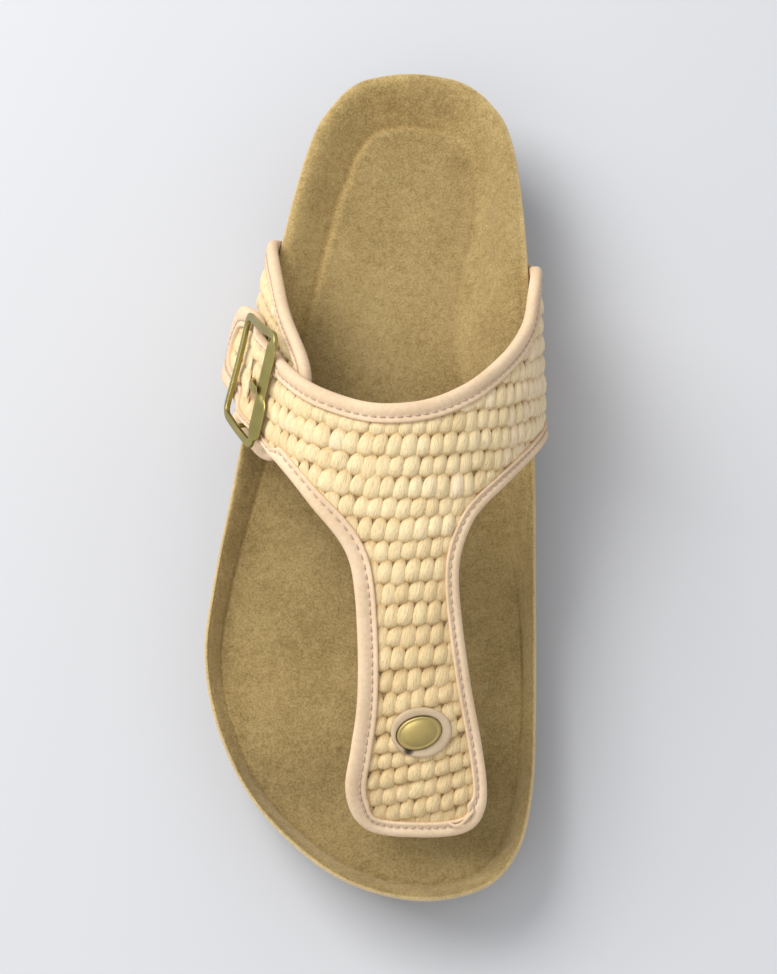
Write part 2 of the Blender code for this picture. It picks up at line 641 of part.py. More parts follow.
def prong_slot():
    near = bar_line(PRONG_S) + SLOT_FROM
    far = bar_line(PRONG_S) + SLOT_TO
    rear = PRONG_S - SLOT_HALF
    front = PRONG_S + SLOT_HALF
    corners = ((rear, near), (front, near), (front, far), (rear, far))
    return loft([[on_last(s, p, h) for s, p in corners] for h in (SLOT_LOW, SLOT_HIGH)], cap=True)


# Toe post: stud place on the strap's pattern, then heights over the last.
STUD = (206.9, 2.5)
POST_RADIUS = 4.0
POST_BASE = (12.4, 206.3, 19.5)
POST_FOOT = 10.4
SHANK_RADIUS = 1.6
HOLE_RADIUS = 2.0
HOLE_LOW, HOLE_HIGH = 0.2, 4.5
WASHER_AXES = (8.6, 7.2)
CAP_AXES = (5.5, 4.1)
CAP_TURN = math.radians(17)
WASHER_LIFT = PANEL_LIFT + PANEL_THICK + COURSE_HEIGHT + GAP
WASHER_THICK = 1.2
AROUND = 16


def stud_ring(axes, lift, turn=0.0):
    ring = []
    for a in np.linspace(0, 2 * math.pi, AROUND, endpoint=False):
        u, v = axes[0] * math.cos(a), axes[1] * math.sin(a)
        ring.append(on_last(STUD[0] - u * math.sin(turn) + v * math.cos(turn),
                            STUD[1] + u * math.cos(turn) + v * math.sin(turn), lift))
    return ring


def post_washer():
    w, h = WASHER_AXES
    low, high = WASHER_LIFT, WASHER_LIFT + WASHER_THICK
    hole = (HOLE_RADIUS, HOLE_RADIUS)
    rings = [stud_ring(hole, low), stud_ring((w, h), low), stud_ring((w, h), high - 0.4),
             stud_ring((w - 0.7, h - 0.7), high), stud_ring((w - 2.6, h - 2.6), high - 0.1),
             stud_ring(hole, high - 0.1), stud_ring(hole, low)]
    return finish("post_washer", loft(rings), (0.62, 0.5, 0.34), 0.8)


def post_cap():
    low = WASHER_LIFT + WASHER_THICK + 0.1
    w, h = CAP_AXES
    rings = [stud_ring((0, 0), -3.6), stud_ring((SHANK_RADIUS, SHANK_RADIUS), -3.6),
             stud_ring((SHANK_RADIUS, SHANK_RADIUS), low), stud_ring((w, h), low, CAP_TURN),
             stud_ring((w, h), low + 0.5, CAP_TURN), stud_ring((0.86 * w, 0.86 * h), low + 1.3, CAP_TURN),
             stud_ring((0.5 * w, 0.5 * h), low + 1.8, CAP_TURN), stud_ring((0, 0), low + 1.95)]
    return finish("post_cap", loft(rings), (0.5, 0.4, 0.18), 0.25, 1.0)


def post_axis(t):
    """Point and direction up the post: upright in the footbed, square to the strap at the top."""
    top = on_last(*STUD, PANEL_LIFT - 2 * GAP)
    out = (on_last(*STUD, 5.0) - on_last(*STUD, 0.0)).normalized()
    base = place(*POST_BASE)
    reach = (top - base).length * 0.4
    a, b, c, d = base, base + Vector((0, 0, reach)), top - out * reach, top
    point = (1 - t) ** 3 * a + 3 * (1 - t) ** 2 * t * b + 3 * (1 - t) * t * t * c + t ** 3 * d
    rate = 3 * (1 - t) ** 2 * (b - a) + 6 * (1 - t) * t * (c - b) + 3 * t * t * (d - c)
    return point, rate.normalized()


def post_ring(t, radius, slide=0.0):
    point, up = post_axis(t)
    side = Vector((1, 0, 0))
    side = (side - up * side.dot(up)).normalized()
    other = up.cross(side)
    return [point + up * slide * MM + (side * math.cos(a) + other * math.sin(a)) * radius * MM
            for a in np.linspace(0, 2 * math.pi, AROUND, endpoint=False)]


def toe_post():
    sunk = POST_FOOT - POST_BASE[2]
    rings = [post_ring(0, 0.0, sunk), post_ring(0, POST_RADIUS, sunk)]
    rings += [post_ring(t, POST_RADIUS) for t in (0.0, 0.33, 0.67)]
    rings += [post_ring(1, POST_RADIUS), post_ring(1, HOLE_RADIUS), post_ring(1, HOLE_RADIUS, -5.0),
              post_ring(1, 0.0, -5.0)]
    return finish("toe_post", loft(rings), (0.55, 0.44, 0.3), 0.7)


def post_hole():
    x, s, _ = POST_BASE
    rings = []
    for h in (POST_FOOT - GAP, 26.0):
        rings.append([place(x + (POST_RADIUS + GAP) * math.cos(a), s + (POST_RADIUS + GAP) * math.sin(a), h)
                      for a in np.linspace(0, 2 * math.pi, AROUND, endpoint=False)])
    return loft(rings, cap=True)


def rivet_hole():
    bore = (HOLE_RADIUS, HOLE_RADIUS)
    return loft([stud_ring(bore, HOLE_LOW), stud_ring(bore, HOLE_HIGH)], cap=True)


RAFFIA = (0.72, 0.6, 0.4)
TAPE_COLOUR = (0.7, 0.55, 0.4)

outsole()
cork = midsole()
bed = insole()
cut(cork, post_hole(), "cork post hole")
cut(bed, post_hole(), "insole post hole")

t_path, t_inward = edge_path(T_EDGE, 1, lambda s, p: 3 if p < -60 else 2 if s < 160 and p < -4 else 1)
upper = panel("strap_upper", t_path, t_inward, 1, t_lift, RAFFIA)
cut(upper, rivet_hole(), "rivet hole")
cut(upper, prong_slot(), "prong slot")
binding("strap_upper_binding", t_path, t_inward, 1, t_lift, TAPE_COLOUR)
side_path, side_inward = edge_path(LATERAL_EDGE, -1, lambda s, p: 2 if -95 < p < -60 else 1)
panel("strap_lateral", side_path, side_inward, -1, lateral_lift, RAFFIA)
binding("strap_lateral_binding", side_path, side_inward, -1, lateral_lift, TAPE_COLOUR)

frame = buckle_frame()
join(frame, centre_bar(), "centre bar")
buckle_prong()
toe_post()
post_washer()
post_cap()
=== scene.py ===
"""Looks of a toe post sandal, right foot: foam outsole, cork, suede footbed, woven straps, buckle and stud.

Sizes are millimetres until a mesh is made, in the sandal's own terms: s runs from the back of the heel to
the tip of the toe, x towards the inner side and z up. On the straps, s is the station where a course
crosses the crest of the instep and p the distance across from there, negative on the outer side.
"""
import math

import bmesh
import bpy
import numpy as np
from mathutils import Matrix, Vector


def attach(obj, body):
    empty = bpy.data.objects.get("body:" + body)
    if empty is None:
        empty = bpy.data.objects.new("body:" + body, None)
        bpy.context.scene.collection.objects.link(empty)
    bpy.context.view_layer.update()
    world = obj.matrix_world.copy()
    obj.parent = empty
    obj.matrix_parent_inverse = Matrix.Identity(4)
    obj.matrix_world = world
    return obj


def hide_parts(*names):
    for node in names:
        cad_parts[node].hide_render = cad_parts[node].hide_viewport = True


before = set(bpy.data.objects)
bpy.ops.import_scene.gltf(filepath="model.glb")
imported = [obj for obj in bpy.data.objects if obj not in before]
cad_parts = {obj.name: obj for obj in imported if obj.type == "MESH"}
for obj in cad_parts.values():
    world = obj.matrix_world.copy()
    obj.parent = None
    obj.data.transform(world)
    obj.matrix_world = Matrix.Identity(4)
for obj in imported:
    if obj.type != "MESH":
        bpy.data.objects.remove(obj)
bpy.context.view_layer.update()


# Outsole: a slab of tan foam under the whole footbed, moulded with round lugs along its edge and shallow
# waves across its tread. It turns up a little at the toe and is glued to the cork.
MM, WELD = 0.001, 2e-6
HEEL_BACK, TOE_FRONT = -3.9, 250.0
X_SHIFT = -0.1
HEEL_TIP, TOE_TIP = (10.2, HEEL_BACK), (13.5, TOE_FRONT)
# rows of s, outer-side x and inner-side x
OUTLINE = (
    (-1.9, -2.9, 23.2), (1, -8.3, 29.3), (6, -13.0, 34.6), (14, -18.3, 39.7), (28, -23.0, 42.9),
    (55, -29.1, 44.7), (90, -35.0, 45.4), (130, -41.9, 46.1), (160, -47.2, 45.9), (180, -49.0, 45.6),
    (200, -45.1, 45.0), (220, -35.6, 43.5), (236, -21.2, 39.3), (246, -5.6, 30.6),
)
OUTLINE_STEPS = 60
OUTSOLE_THICK = 8.5
TOE_SPRING, SPRING_FROM = 5.0, 205.0
HEEL_BEVEL, BEVEL_TO = 1.5, 14.0
UNDERCUT, MORE_AT_TOE, MORE_FROM, MORE_OVER = 1.8, 1.6, 222, 28
SPINE_FROM, SPINE_TO = 34.0, 216.0
SOLE_STATIONS, TREAD_RINGS, TREAD_INSET = 330, 14, 1.2
LUG_PITCH, LUG_FROM, LUG_TO = 10.4, 10.4, 238.0
NOTCH_DEPTH, NOTCH_REACH = 1.6, 9.0
TREAD_DEPTH, TREAD_SWAY, TREAD_WAVE = 0.7, 2.4, 24.0
# rows of inset and rise round the foot of the side wall
SOLE_ROUND = ((0.75, 0.15), (0.3, 0.6), (0.1, 1.3))
SIDE_SHARES, SIDE_SWELL, TOP_INSET = (0.35, 0.7, 0.94), 0.1, 0.35
GAP = 0.3
WHITE = (1, 1, 1)


def place(points):
    """Metres in the sandal's frame from rows of x, s and z."""
    x, s, z = np.moveaxis(np.asarray(points, float), -1, 0)
    return np.stack([x + X_SHIFT, (HEEL_BACK + TOE_FRONT) / 2 - s, z], axis=-1) * MM


def ease(t):
    t = np.clip(t, 0, 1)
    return t * t * (3 - 2 * t)


def past(at, begin, over):
    """0 up to a beginning and 1 from so far past it."""
    return ease((at - begin) / over)


def hermite(start, leave, end, arrive, t):
    """Curve from start to end by the tangents it leaves and arrives with."""
    return ((2 * t ** 3 - 3 * t ** 2 + 1) * start + (t ** 3 - 2 * t ** 2 + t) * leave
            + (3 * t ** 2 - 2 * t ** 3) * end + (t ** 3 - t ** 2) * arrive)


def smooth(table, column, at):
    """Smooth curve through a table's rows, the first column against the one asked."""
    rows = np.array(table, float)
    xs, ys = rows[:, 0], rows[:, column]
    at = np.clip(at, xs[0], xs[-1])
    slope = np.gradient(ys, xs)
    k = np.clip(np.searchsorted(xs, at, side="right") - 1, 0, len(xs) - 2)
    width = xs[k + 1] - xs[k]
    return hermite(ys[k], width * slope[k], ys[k + 1], width * slope[k + 1], (at - xs[k]) / width)


def curve_through(points, steps, closed):
    """Smooth line through points, with so many steps to each chord."""
    ahead, behind = np.roll(points, -1, axis=0), np.roll(points, 1, axis=0)
    chord = np.linalg.norm(ahead - points, axis=1)
    tangent = (ahead - behind) / (chord + np.roll(chord, 1))[:, None]
    if not closed:
        chord = chord[:-1]
        tangent[0] = (points[1] - points[0]) / chord[0]
        tangent[-1] = (points[-1] - points[-2]) / chord[-1]
    dense = []
    for k, far in enumerate(chord):
        n = (k + 1) % len(points)
        for t in np.linspace(0, 1, steps, endpoint=False):
            dense.append(hermite(points[k], far * tangent[k], points[n], far * tangent[n], t))
    return np.array(dense)


def closed_outline():
    """The outline from the heel's tip up the inner side and back, and where the toe's tip is in it."""
    inner = [(row[2], row[0]) for row in OUTLINE]
    outer = [(row[1], row[0]) for row in reversed(OUTLINE)]
    points = np.array([HEEL_TIP, *inner, TOE_TIP, *outer])
    return curve_through(points, OUTLINE_STEPS, True), (len(inner) + 1) * OUTLINE_STEPS


DENSE, TOE_AT = closed_outline()
INNER_EDGE = DENSE[:TOE_AT + 1]
OUTER_EDGE = np.vstack([DENSE[TOE_AT:], DENSE[:1]])[::-1]


def edge_x(s, side):
    line = INNER_EDGE if side > 0 else OUTER_EDGE
    return np.interp(s, np.maximum.accumulate(line[:, 1]), line[:, 0])


def spring(s):
    return TOE_SPRING * np.clip((s - SPRING_FROM) / (TOE_FRONT - SPRING_FROM), 0, 1) ** 2


def undercut(s):
    """How far the foot of the cork wall stands inside the rim, more at the toe."""
    return UNDERCUT + MORE_AT_TOE * past(s, MORE_FROM, MORE_OVER)


class SoleEdge:
    """Stations up the inner side and down the outer, closer at heel and toe, with their spine points."""

    def __init__(self, count):
        turn = np.linspace(0, math.pi, count)[1:-1]
        s = HEEL_BACK + (TOE_FRONT - HEEL_BACK) * (0.5 - 0.5 * np.cos(turn))
        inner = np.stack([edge_x(s, 1), s], axis=1)
        outer = np.stack([edge_x(s, -1), s], axis=1)[::-1]
        self.edge = np.vstack([[HEEL_TIP], inner, [TOE_TIP], outer])
        self.s = self.edge[:, 1]
        self.side = np.concatenate([[0], np.ones(len(s)), [0], -np.ones(len(s))])
        at = np.clip(self.s, SPINE_FROM, SPINE_TO)
        self.spine = np.stack([(edge_x(at, 1) + edge_x(at, -1)) / 2, at], axis=1)
        self.reach = np.linalg.norm(self.spine - self.edge, axis=1)

    def column(self, table):
        outer, inner = smooth(table, 1, self.s), smooth(table, 2, self.s)
        return np.where(self.side > 0, inner, np.where(self.side < 0, outer, (inner + outer) / 2))

    def at(self, inset):
        share = np.clip(inset / self.reach, 0, 1)[:, None]
        return self.edge + (self.spine - self.edge) * share

    def ring(self, flat, z):
        return np.column_stack([flat, np.broadcast_to(z, len(flat))])


def skin(rings):
    """Mesh data through rings of equal point count, each closed on itself."""
    data = bmesh.new()
    verts = [[data.verts.new(p) for p in ring] for ring in place(np.array(rings))]
    count = len(verts[0])
    for low, high in zip(verts, verts[1:]):
        for i in range(count):
            j = (i + 1) % count
            data.faces.new((low[i], low[j], high[j], high[i]))
    return data


def in_scene(name, data):
    """A new object in the scene for a mesh, a lamp or the camera."""
    made = bpy.data.objects.new(name, data)
    bpy.context.scene.collection.objects.link(made)
    return made


def make_piece(name, data, material, sharp=None):
    """Weld and close a mesh, turn its faces outward and let it ride on the sandal."""
    bmesh.ops.remove_doubles(data, verts=data.verts, dist=WELD)
    bmesh.ops.holes_fill(data, edges=data.edges)
    bmesh.ops.recalc_face_normals(data, faces=data.faces)
    mesh = bpy.data.meshes.new(name)
    data.to_mesh(mesh)
    data.free()
    mesh.shade_smooth()
    if sharp:
        mesh.set_sharp_from_angle(angle=math.radians(sharp))
    mesh.materials.append(material)
    piece = in_scene(name, mesh)
    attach(piece, "root")
    return piece


class Nodes:
    """Short ways to add nodes to a tree. An input that is given a socket is linked, any other is set."""

    def __init__(self, tree):
        self.tree = tree

    def feed(self, socket, value):
        if isinstance(value, bpy.types.NodeSocket):
            self.tree.links.new(value, socket)
        else:
            socket.default_value = value

    def add(self, kind, inputs=None, **settings):
        made = self.tree.nodes.new(kind)
        for name, value in settings.items():
            setattr(made, name, value)
        for name, value in (inputs or {}).items():
            self.feed(made.inputs[name], value)
        return made

    def math(self, operation, *values):
        return self.add("ShaderNodeMath", dict(enumerate(values)), operation=operation).outputs[0]


class Finish(Nodes):
    """A material: nodes from the object's own coordinates or a mesh's attributes to its shader."""

    def __init__(self, name, rough, metal=0.0):
        self.material = bpy.data.materials.new(name)
        self.material.use_nodes = True
        super().__init__(self.material.node_tree)
        self.done({"Roughness": rough, "Metallic": metal})

    def done(self, inputs):
        """Feed the shader and hand over the material."""
        for name, value in inputs.items():
            self.feed(self.tree.nodes["Principled BSDF"].inputs[name], value)
        return self.material

    def coordinates(self):
        return self.add("ShaderNodeTexCoord").outputs["Object"]

    def attribute(self, name, output="Fac"):
        return self.add("ShaderNodeAttribute", attribute_name=name).outputs[output]

    def noise(self, vector, scale, detail=2.0, rough=0.5):
        return self.add("ShaderNodeTexNoise", {"Scale": scale, "Detail": detail, "Roughness": rough,
                                               "Vector": vector}).outputs["Fac"]

    def cells(self, vector, scale, output="Distance", **settings):
        inputs = {"Scale": scale, "Vector": vector}
        return self.add("ShaderNodeTexVoronoi", inputs, **settings).outputs[output]

    def ramp(self, factor, *stops):
        """Colours along a factor: stops are a place and a colour each."""
        made = self.add("ShaderNodeValToRGB", {"Fac": factor})
        line = made.color_ramp.elements
        while len(line) < len(stops):
            line.new(0.5)
        for element, (at, colour) in zip(line, stops):
            element.position = at
            element.color = (*colour, 1.0)
        return made.outputs["Color"]

    def mix(self, factor, a, b, blend="MULTIPLY"):
        """Blend of two colours, each a link or a plain colour."""
        a, b = (c if isinstance(c, bpy.types.NodeSocket) else (*c, 1.0) for c in (a, b))
        inputs = {0: factor, 6: a, 7: b}
        return self.add("ShaderNodeMix", inputs, data_type="RGBA", blend_type=blend).outputs[2]

    def bump(self, height, strength, distance, under=None):
        inputs = {"Strength": strength, "Distance": distance, "Height": height}
        if under is not None:
            inputs["Normal"] = under
        return self.add("ShaderNodeBump", inputs).outputs["Normal"]


def foam_material():
    foam = Finish("tan foam", 0.72)
    spot = foam.coordinates()
    pores = foam.cells(spot, 900.0)
    colour = foam.ramp(foam.noise(spot, 60.0, 3.0), (0.3, (0.235, 0.165, 0.075)), (0.7, (0.31, 0.225, 0.11)))
    speck = foam.ramp(pores, (0.0, (0.5, 0.5, 0.5)), (0.3, WHITE))
    return foam.done({"Base Color": foam.mix(0.5, colour, speck), "Normal": foam.bump(pores, 0.35, 0.0003)})


def lug_notch(s):
    """Upward notch between round lugs, 0 at a lug's middle and 1 at the cusp between two."""
    turn = 2 * (((s - LUG_FROM) / LUG_PITCH) % 1.0) - 1
    cusp = 1 - np.sqrt(np.clip(1 - turn ** 2, 0, 1))
    return np.where((s > LUG_FROM) & (s < LUG_TO), cusp, 0.0)


sole = SoleEdge(SOLE_STATIONS)
heel_bevel = HEEL_BEVEL * np.clip((BEVEL_TO - sole.s) / (BEVEL_TO - HEEL_BACK), 0, 1) ** 2
low = heel_bevel + spring(sole.s) + NOTCH_DEPTH * lug_notch(sole.s)
wall = undercut(sole.s)
foot = sole.at(wall + TREAD_INSET)
rings = []
for share in np.linspace(0, 1, TREAD_RINGS):
    flat = sole.spine + (foot - sole.spine) * share
    waves = lug_notch(flat[:, 1] + TREAD_SWAY * np.sin(2 * math.pi * flat[:, 0] / TREAD_WAVE))
    near_edge = ease(1 - np.linalg.norm(flat - foot, axis=1) / NOTCH_REACH)
    ground = spring(flat[:, 1]) + TREAD_DEPTH * waves * (1 - near_edge)
    rings.append(sole.ring(flat, ground * (1 - near_edge) + low * near_edge))
for inset, rise in SOLE_ROUND:
    rings.append(sole.ring(sole.at(wall + inset), low + rise))
round_top, top = low + SOLE_ROUND[-1][1], spring(sole.s) + OUTSOLE_THICK
for share in SIDE_SHARES:
    rings.append(sole.ring(sole.at(wall - SIDE_SWELL * share), round_top + (top - round_top) * share))
rings.append(sole.ring(sole.at(wall + TOP_INSET), top))
rings.append(sole.ring(sole.spine, spring(sole.spine[:, 1]) + OUTSOLE_THICK))
outsole = make_piece("outsole_foam", skin(rings), foam_material(), sharp=50)
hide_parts("outsole")


# Cork: ground cork pressed in a mould, stained dark brown and sealed. Its wall leans in towards the outsole,
# and its top is the hollow that the suede lies in.
CORK_STATIONS, CORK_BULGE, CORK_WALL_RINGS = 170, 0.25, 9
# rows of s, outer-side height and inner-side height of the rim
RIM = ((0, 31, 31), (30, 29.5, 31), (60, 28.5, 35), (80, 28.5, 36.5), (100, 28, 35), (130, 25, 27.5),
       (160, 21.5, 22), (185, 20.5, 20.5), (215, 21, 21), (250, 25, 25))
# rows of s, height of the floor and how much higher it is in the middle
FLOOR = ((0, 21.5, 0), (20, 20.5, -0.4), (45, 20, -0.6), (75, 21.5, 0), (105, 22, 0.5), (130, 20, 1.4),
         (155, 16.5, 0.8), (180, 15, 0.3), (196, 17.2, 0.4), (206, 16.8, 0.3), (216, 15.8, 0),
         (235, 17.5, 0), (250, 20.5, 0))
# rows of s, outer-side width and inner-side width of the cup's wall
CUP = ((0, 17, 17), (40, 16, 17), (75, 15, 27), (105, 12, 24), (130, 9, 13), (150, 7, 8), (250, 7, 7))
CUP_MOST, LEAST_INSET, FLOOR_RINGS, THICKER_UP = 0.8, 1.0, 9, 0.5
# share of the cup's width from the rim, and share of its height left there
CUP_PROFILE = ((0.06, 1.0), (0.14, 0.99), (0.26, 0.86), (0.38, 0.66), (0.5, 0.42), (0.6, 0.22), (0.7, 0.07),
               (0.78, 0.015), (0.9, 0.02), (1.1, 0.0))
UNDER_SHARES = (0.9, 0.6, 0.3, 0.12)
SUEDE_EDGE, SUEDE_THICK = 3.2, 2.0


def bed_surface(loop, shares, drop):
    """Rings of the footbed's hollow from the spine out to the rim, lowered by drop, more up the wall."""
    rim, floor = loop.column(RIM), smooth(FLOOR, 1, loop.s)
    cup = np.minimum(loop.column(CUP), CUP_MOST * loop.reach)
    spine_s = loop.spine[:, 1]
    middle = smooth(FLOOR, 1, spine_s) + smooth(FLOOR, 2, spine_s)
    foot = loop.at(cup * CUP_PROFILE[-1][0])
    made = []
    for share in np.linspace(0, 1, FLOOR_RINGS)[:-1]:
        arch = (1 - share) ** 2 * (1 + 2 * share)
        height = floor + (middle - floor) * arch - drop
        made.append(loop.ring(loop.spine + (foot - loop.spine) * share, height))
    for share in shares:
        height = smooth(CUP_PROFILE, 1, share)
        lower = drop * (1 + THICKER_UP * height)
        inset = np.maximum(cup * share, LEAST_INSET)
        made.append(loop.ring(loop.at(inset), floor + (rim - floor) * height - lower))
    return made, rim


def cork_material():
    cork = Finish("dark cork", 0.62)
    spot = cork.coordinates()
    bend = cork.add("ShaderNodeTexNoise", {"Scale": 500.0, "Vector": spot}).outputs["Color"]
    shifted = cork.add("ShaderNodeVectorMath", {0: bend, 1: (0.0012, 0.0012, 0.0012), 2: spot},
                       operation="MULTIPLY_ADD").outputs[0]
    grain = cork.cells(shifted, 520.0, "Color")
    seam = cork.cells(shifted, 520.0, feature="DISTANCE_TO_EDGE")
    tone = cork.add("ShaderNodeSeparateColor", {"Color": grain}).outputs[0]
    colour = cork.ramp(tone, (0.0, (0.022, 0.011, 0.007)), (0.45, (0.05, 0.026, 0.016)),
                       (0.85, (0.085, 0.046, 0.028)), (1.0, (0.15, 0.088, 0.05)))
    line = cork.ramp(seam, (0.0, (0.35, 0.35, 0.35)), (0.12, WHITE))
    shallow = cork.bump(cork.noise(spot, 2200.0, 3.0, 0.6), 0.25, 0.0003)
    return cork.done({"Base Color": cork.mix(1.0, colour, line),
                      "Normal": cork.bump(seam, 0.5, 0.0006, shallow)})


bed = SoleEdge(CORK_STATIONS)
rings, bed_rim = bed_surface(bed, UNDER_SHARES, SUEDE_THICK + GAP)
crest = bed_rim - SUEDE_EDGE - GAP
base = OUTSOLE_THICK + GAP + spring(bed.s)
for share in np.linspace(0, 1, CORK_WALL_RINGS):
    inset = TOP_INSET + (undercut(bed.s) - TOP_INSET) * share - CORK_BULGE * 4 * share * (1 - share)
    rings.append(bed.ring(bed.at(inset), crest + (base - crest) * share))
rings.append(bed.ring(bed.spine, OUTSOLE_THICK + GAP + spring(bed.spine[:, 1])))
cork = make_piece("cork_body", skin(rings), cork_material(), sharp=50)
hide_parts("midsole")


# Footbed cover: tan suede on a thin foam, pressed over the cork, with its cut edge showing round the rim.
# A pressed crease runs round the foot of the heel cup and inside the lip of the forefoot. Painted shade lies
# along the crease and in the toe, and painted light up the heel's walls, the outer lip and the cut edge.
SUEDE_STATIONS = 260
CREASE_AT, CREASE_WIDE, CREASE_DEEP = 0.76, 0.07, 0.3
# the crease leaves out the inner side, from the back of the heel on, and is fainter in the forefoot
PLAIN_FROM, PLAIN_OVER, PLAIN_TO = -4, 16, 188
FAINTER, FAINTER_FROM, FADES_OVER = 0.65, 170, 40
# painted light and shade on the suede, 0 dark and 1 light: on the floor, in the toe (painted shade, and the
# nap lies darker there), up the heel's walls and up the outer lip (painted light)
FLOOR_LEVEL, TOE_DARKER, TOE_FROM, TOE_OVER = 0.5, 0.4, 195, 30
OUTER_LIGHTER, INNER_LIGHTER, BACK_LIGHTER, LIP_LIGHTER = 0.5, 0.06, 0.2, 0.3
HEEL_TO, BACK_TO = 110, 25
# shares of the cup's width where that painted light begins and over what share it grows: rim, foot and lip
LIGHT_RIM, LIGHT_FOOT, LIGHT_LIP = (-0.1, 0.25), (1.0, 0.2), (0.9, 0.3)
# rows of inset and drop round the cut edge
SUEDE_ROUND = ((0.8, 0.06), (0.35, 0.25), (0.1, 0.6), (0.0, 1.1), (0.1, 2.0), (0.3, SUEDE_EDGE))
CUT_FROM = 0.9
# rows of first share, last share and count of rings up the cup's wall, closer at the crease
CUP_SHARES = ((1.1, 0.9, 5), (0.86, 0.66, 11), (0.62, 0.1, 14))
NAP_SHADE = (0.234, 0.156, 0.053)
NAP_MIDDLE = (0.412, 0.288, 0.113)
NAP_LIGHT = (0.568, 0.421, 0.187)


def suede_material():
    suede = Finish("suede", 0.92)
    spot = suede.coordinates()
    fibre = suede.noise(spot, 1500.0, 4.0, 0.75)
    tuft = suede.noise(spot, 420.0, 3.0, 0.6)
    level = suede.math("MULTIPLY", fibre, 0.55)
    patch, sweep = suede.noise(spot, 70.0, 3.0, 0.55), suede.noise(spot, 18.0)
    for part, weight in ((tuft, 0.2), (patch, 0.15), (sweep, 0.12)):
        level = suede.math("ADD", level, suede.math("MULTIPLY", part, weight))
    nap = suede.ramp(level, (0.37, NAP_SHADE), (0.51, NAP_MIDDLE), (0.65, NAP_LIGHT))
    # painted light and shade from the mesh's marks: lighter up the heel's walls, the lip and the cut edge,
    # darker in the toe, where the nap also lies darker
    painted_light_tint = suede.ramp(suede.attribute("nap_and_painted_light"), (0.0, (0.59, 0.59, 0.595)), (0.5, (0.706, 0.706, 0.706)),
                     (1.0, WHITE))
    colour = suede.mix(1.0, nap, painted_light_tint)
    # painted shade along the crease, as deep as the suede is creased there
    crease_shaded = suede.mix(suede.attribute("crease"), colour, suede.mix(0.4, colour, (0.42, 0.34, 0.2)), "MIX")
    edge = suede.mix(0.55, colour, (0.62, 0.52, 0.36), "MIX")
    return suede.done({
        "Base Color": suede.mix(suede.attribute("cut"), crease_shaded, edge, "MIX"),
        "Normal": suede.bump(fibre, 0.5, 0.0004, suede.bump(tuft, 0.35, 0.0008)),
        "Sheen Weight": 0.7, "Sheen Roughness": 0.4, "Sheen Tint": (1.0, 0.82, 0.52, 1.0),
        "Specular IOR Level": 0.15})


def mark(data, label, rows):
    """Keep a value on each vertex of a skin, in rows by ring."""
    layer = data.verts.layers.float.new(label)
    for vert, value in zip(data.verts, np.ravel(rows)):
        vert[layer] = value


bed = SoleEdge(SUEDE_STATIONS)
none, outer = np.zeros(len(bed.s)), bed.side < 0
cup_shares = np.concatenate([np.linspace(*row) for row in CUP_SHARES])
rings, bed_rim = bed_surface(bed, cup_shares, 0.0)
# painted light up the heel's walls and painted shade in the toe, where the nap also lies darker
lying = FLOOR_LEVEL - TOE_DARKER * past(bed.s, TOE_FROM, TOE_OVER)
# rows of how far each ring is creased, painted lighter or darker, and cut
marks = [(none, lying, none)] * len(rings)
round_heel = bed.side * (bed.s - HEEL_BACK)
creased = 1 - past(round_heel, PLAIN_FROM, PLAIN_OVER) * ease((PLAIN_TO - round_heel) / FADES_OVER)
creased *= 1 - FAINTER * past(bed.s, FAINTER_FROM, FADES_OVER)
for row, share in enumerate(cup_shares, len(rings) - len(cup_shares)):
    depth = np.exp(-((share - CREASE_AT) / CREASE_WIDE) ** 2) * creased
    rings[row][:, 2] -= CREASE_DEEP * depth
    up_wall = past(share, *LIGHT_RIM) * ease((LIGHT_FOOT[0] - share) / LIGHT_FOOT[1])
    up_wall = up_wall * ease((HEEL_TO - bed.s) / FADES_OVER)
    up_lip = ease((LIGHT_LIP[0] - share) / LIGHT_LIP[1]) * past(bed.s, HEEL_TO, FADES_OVER) * outer
    inner_light = INNER_LIGHTER + BACK_LIGHTER * ease((BACK_TO - bed.s) / BACK_TO)
    lighter = np.where(outer, OUTER_LIGHTER, inner_light)
    marks[row] = (depth, lying + up_wall * lighter + LIP_LIGHTER * up_lip, none)
# the rim round the cut edge gets the full level of painted light
for inset, drop in SUEDE_ROUND:
    rings.append(bed.ring(bed.at(inset), bed_rim - drop))
    marks.append((none, none + 1, none + ease((CUT_FROM - inset) / CUT_FROM)))
under, _ = bed_surface(bed, UNDER_SHARES, SUEDE_THICK)
rings += under[::-1]
marks += [(none, none + 1, none)] * len(under)
data = skin(rings)
for label, rows in zip(("crease", "nap_and_painted_light", "cut"), zip(*marks)):
    mark(data, label, rows)
suede = make_piece("suede_footbed", data, suede_material())
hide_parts("insole")


# Straps over the instep. Their shape is the last: a crest over the middle of the foot, and sections that
# leave it leaning back towards the heel, more on the outer side, and turn down the side of the footbed.
BACK_LEAN = {1: 0.6, -1: 1.1}
# rows of s, x and height along the crest
CREST = ((60, -0.6, 83.0), (85, 1.2, 80.5), (105, 2.6, 76.0), (125, 4.0, 71.0), (145, 5.4, 65.0),
         (166, 6.8, 58.5), (184, 8.1, 52.0), (206, 9.6, 42.5), (224, 10.9, 33.0), (233, 11.5, 26.0),
         (245, 12.3, 15.0))
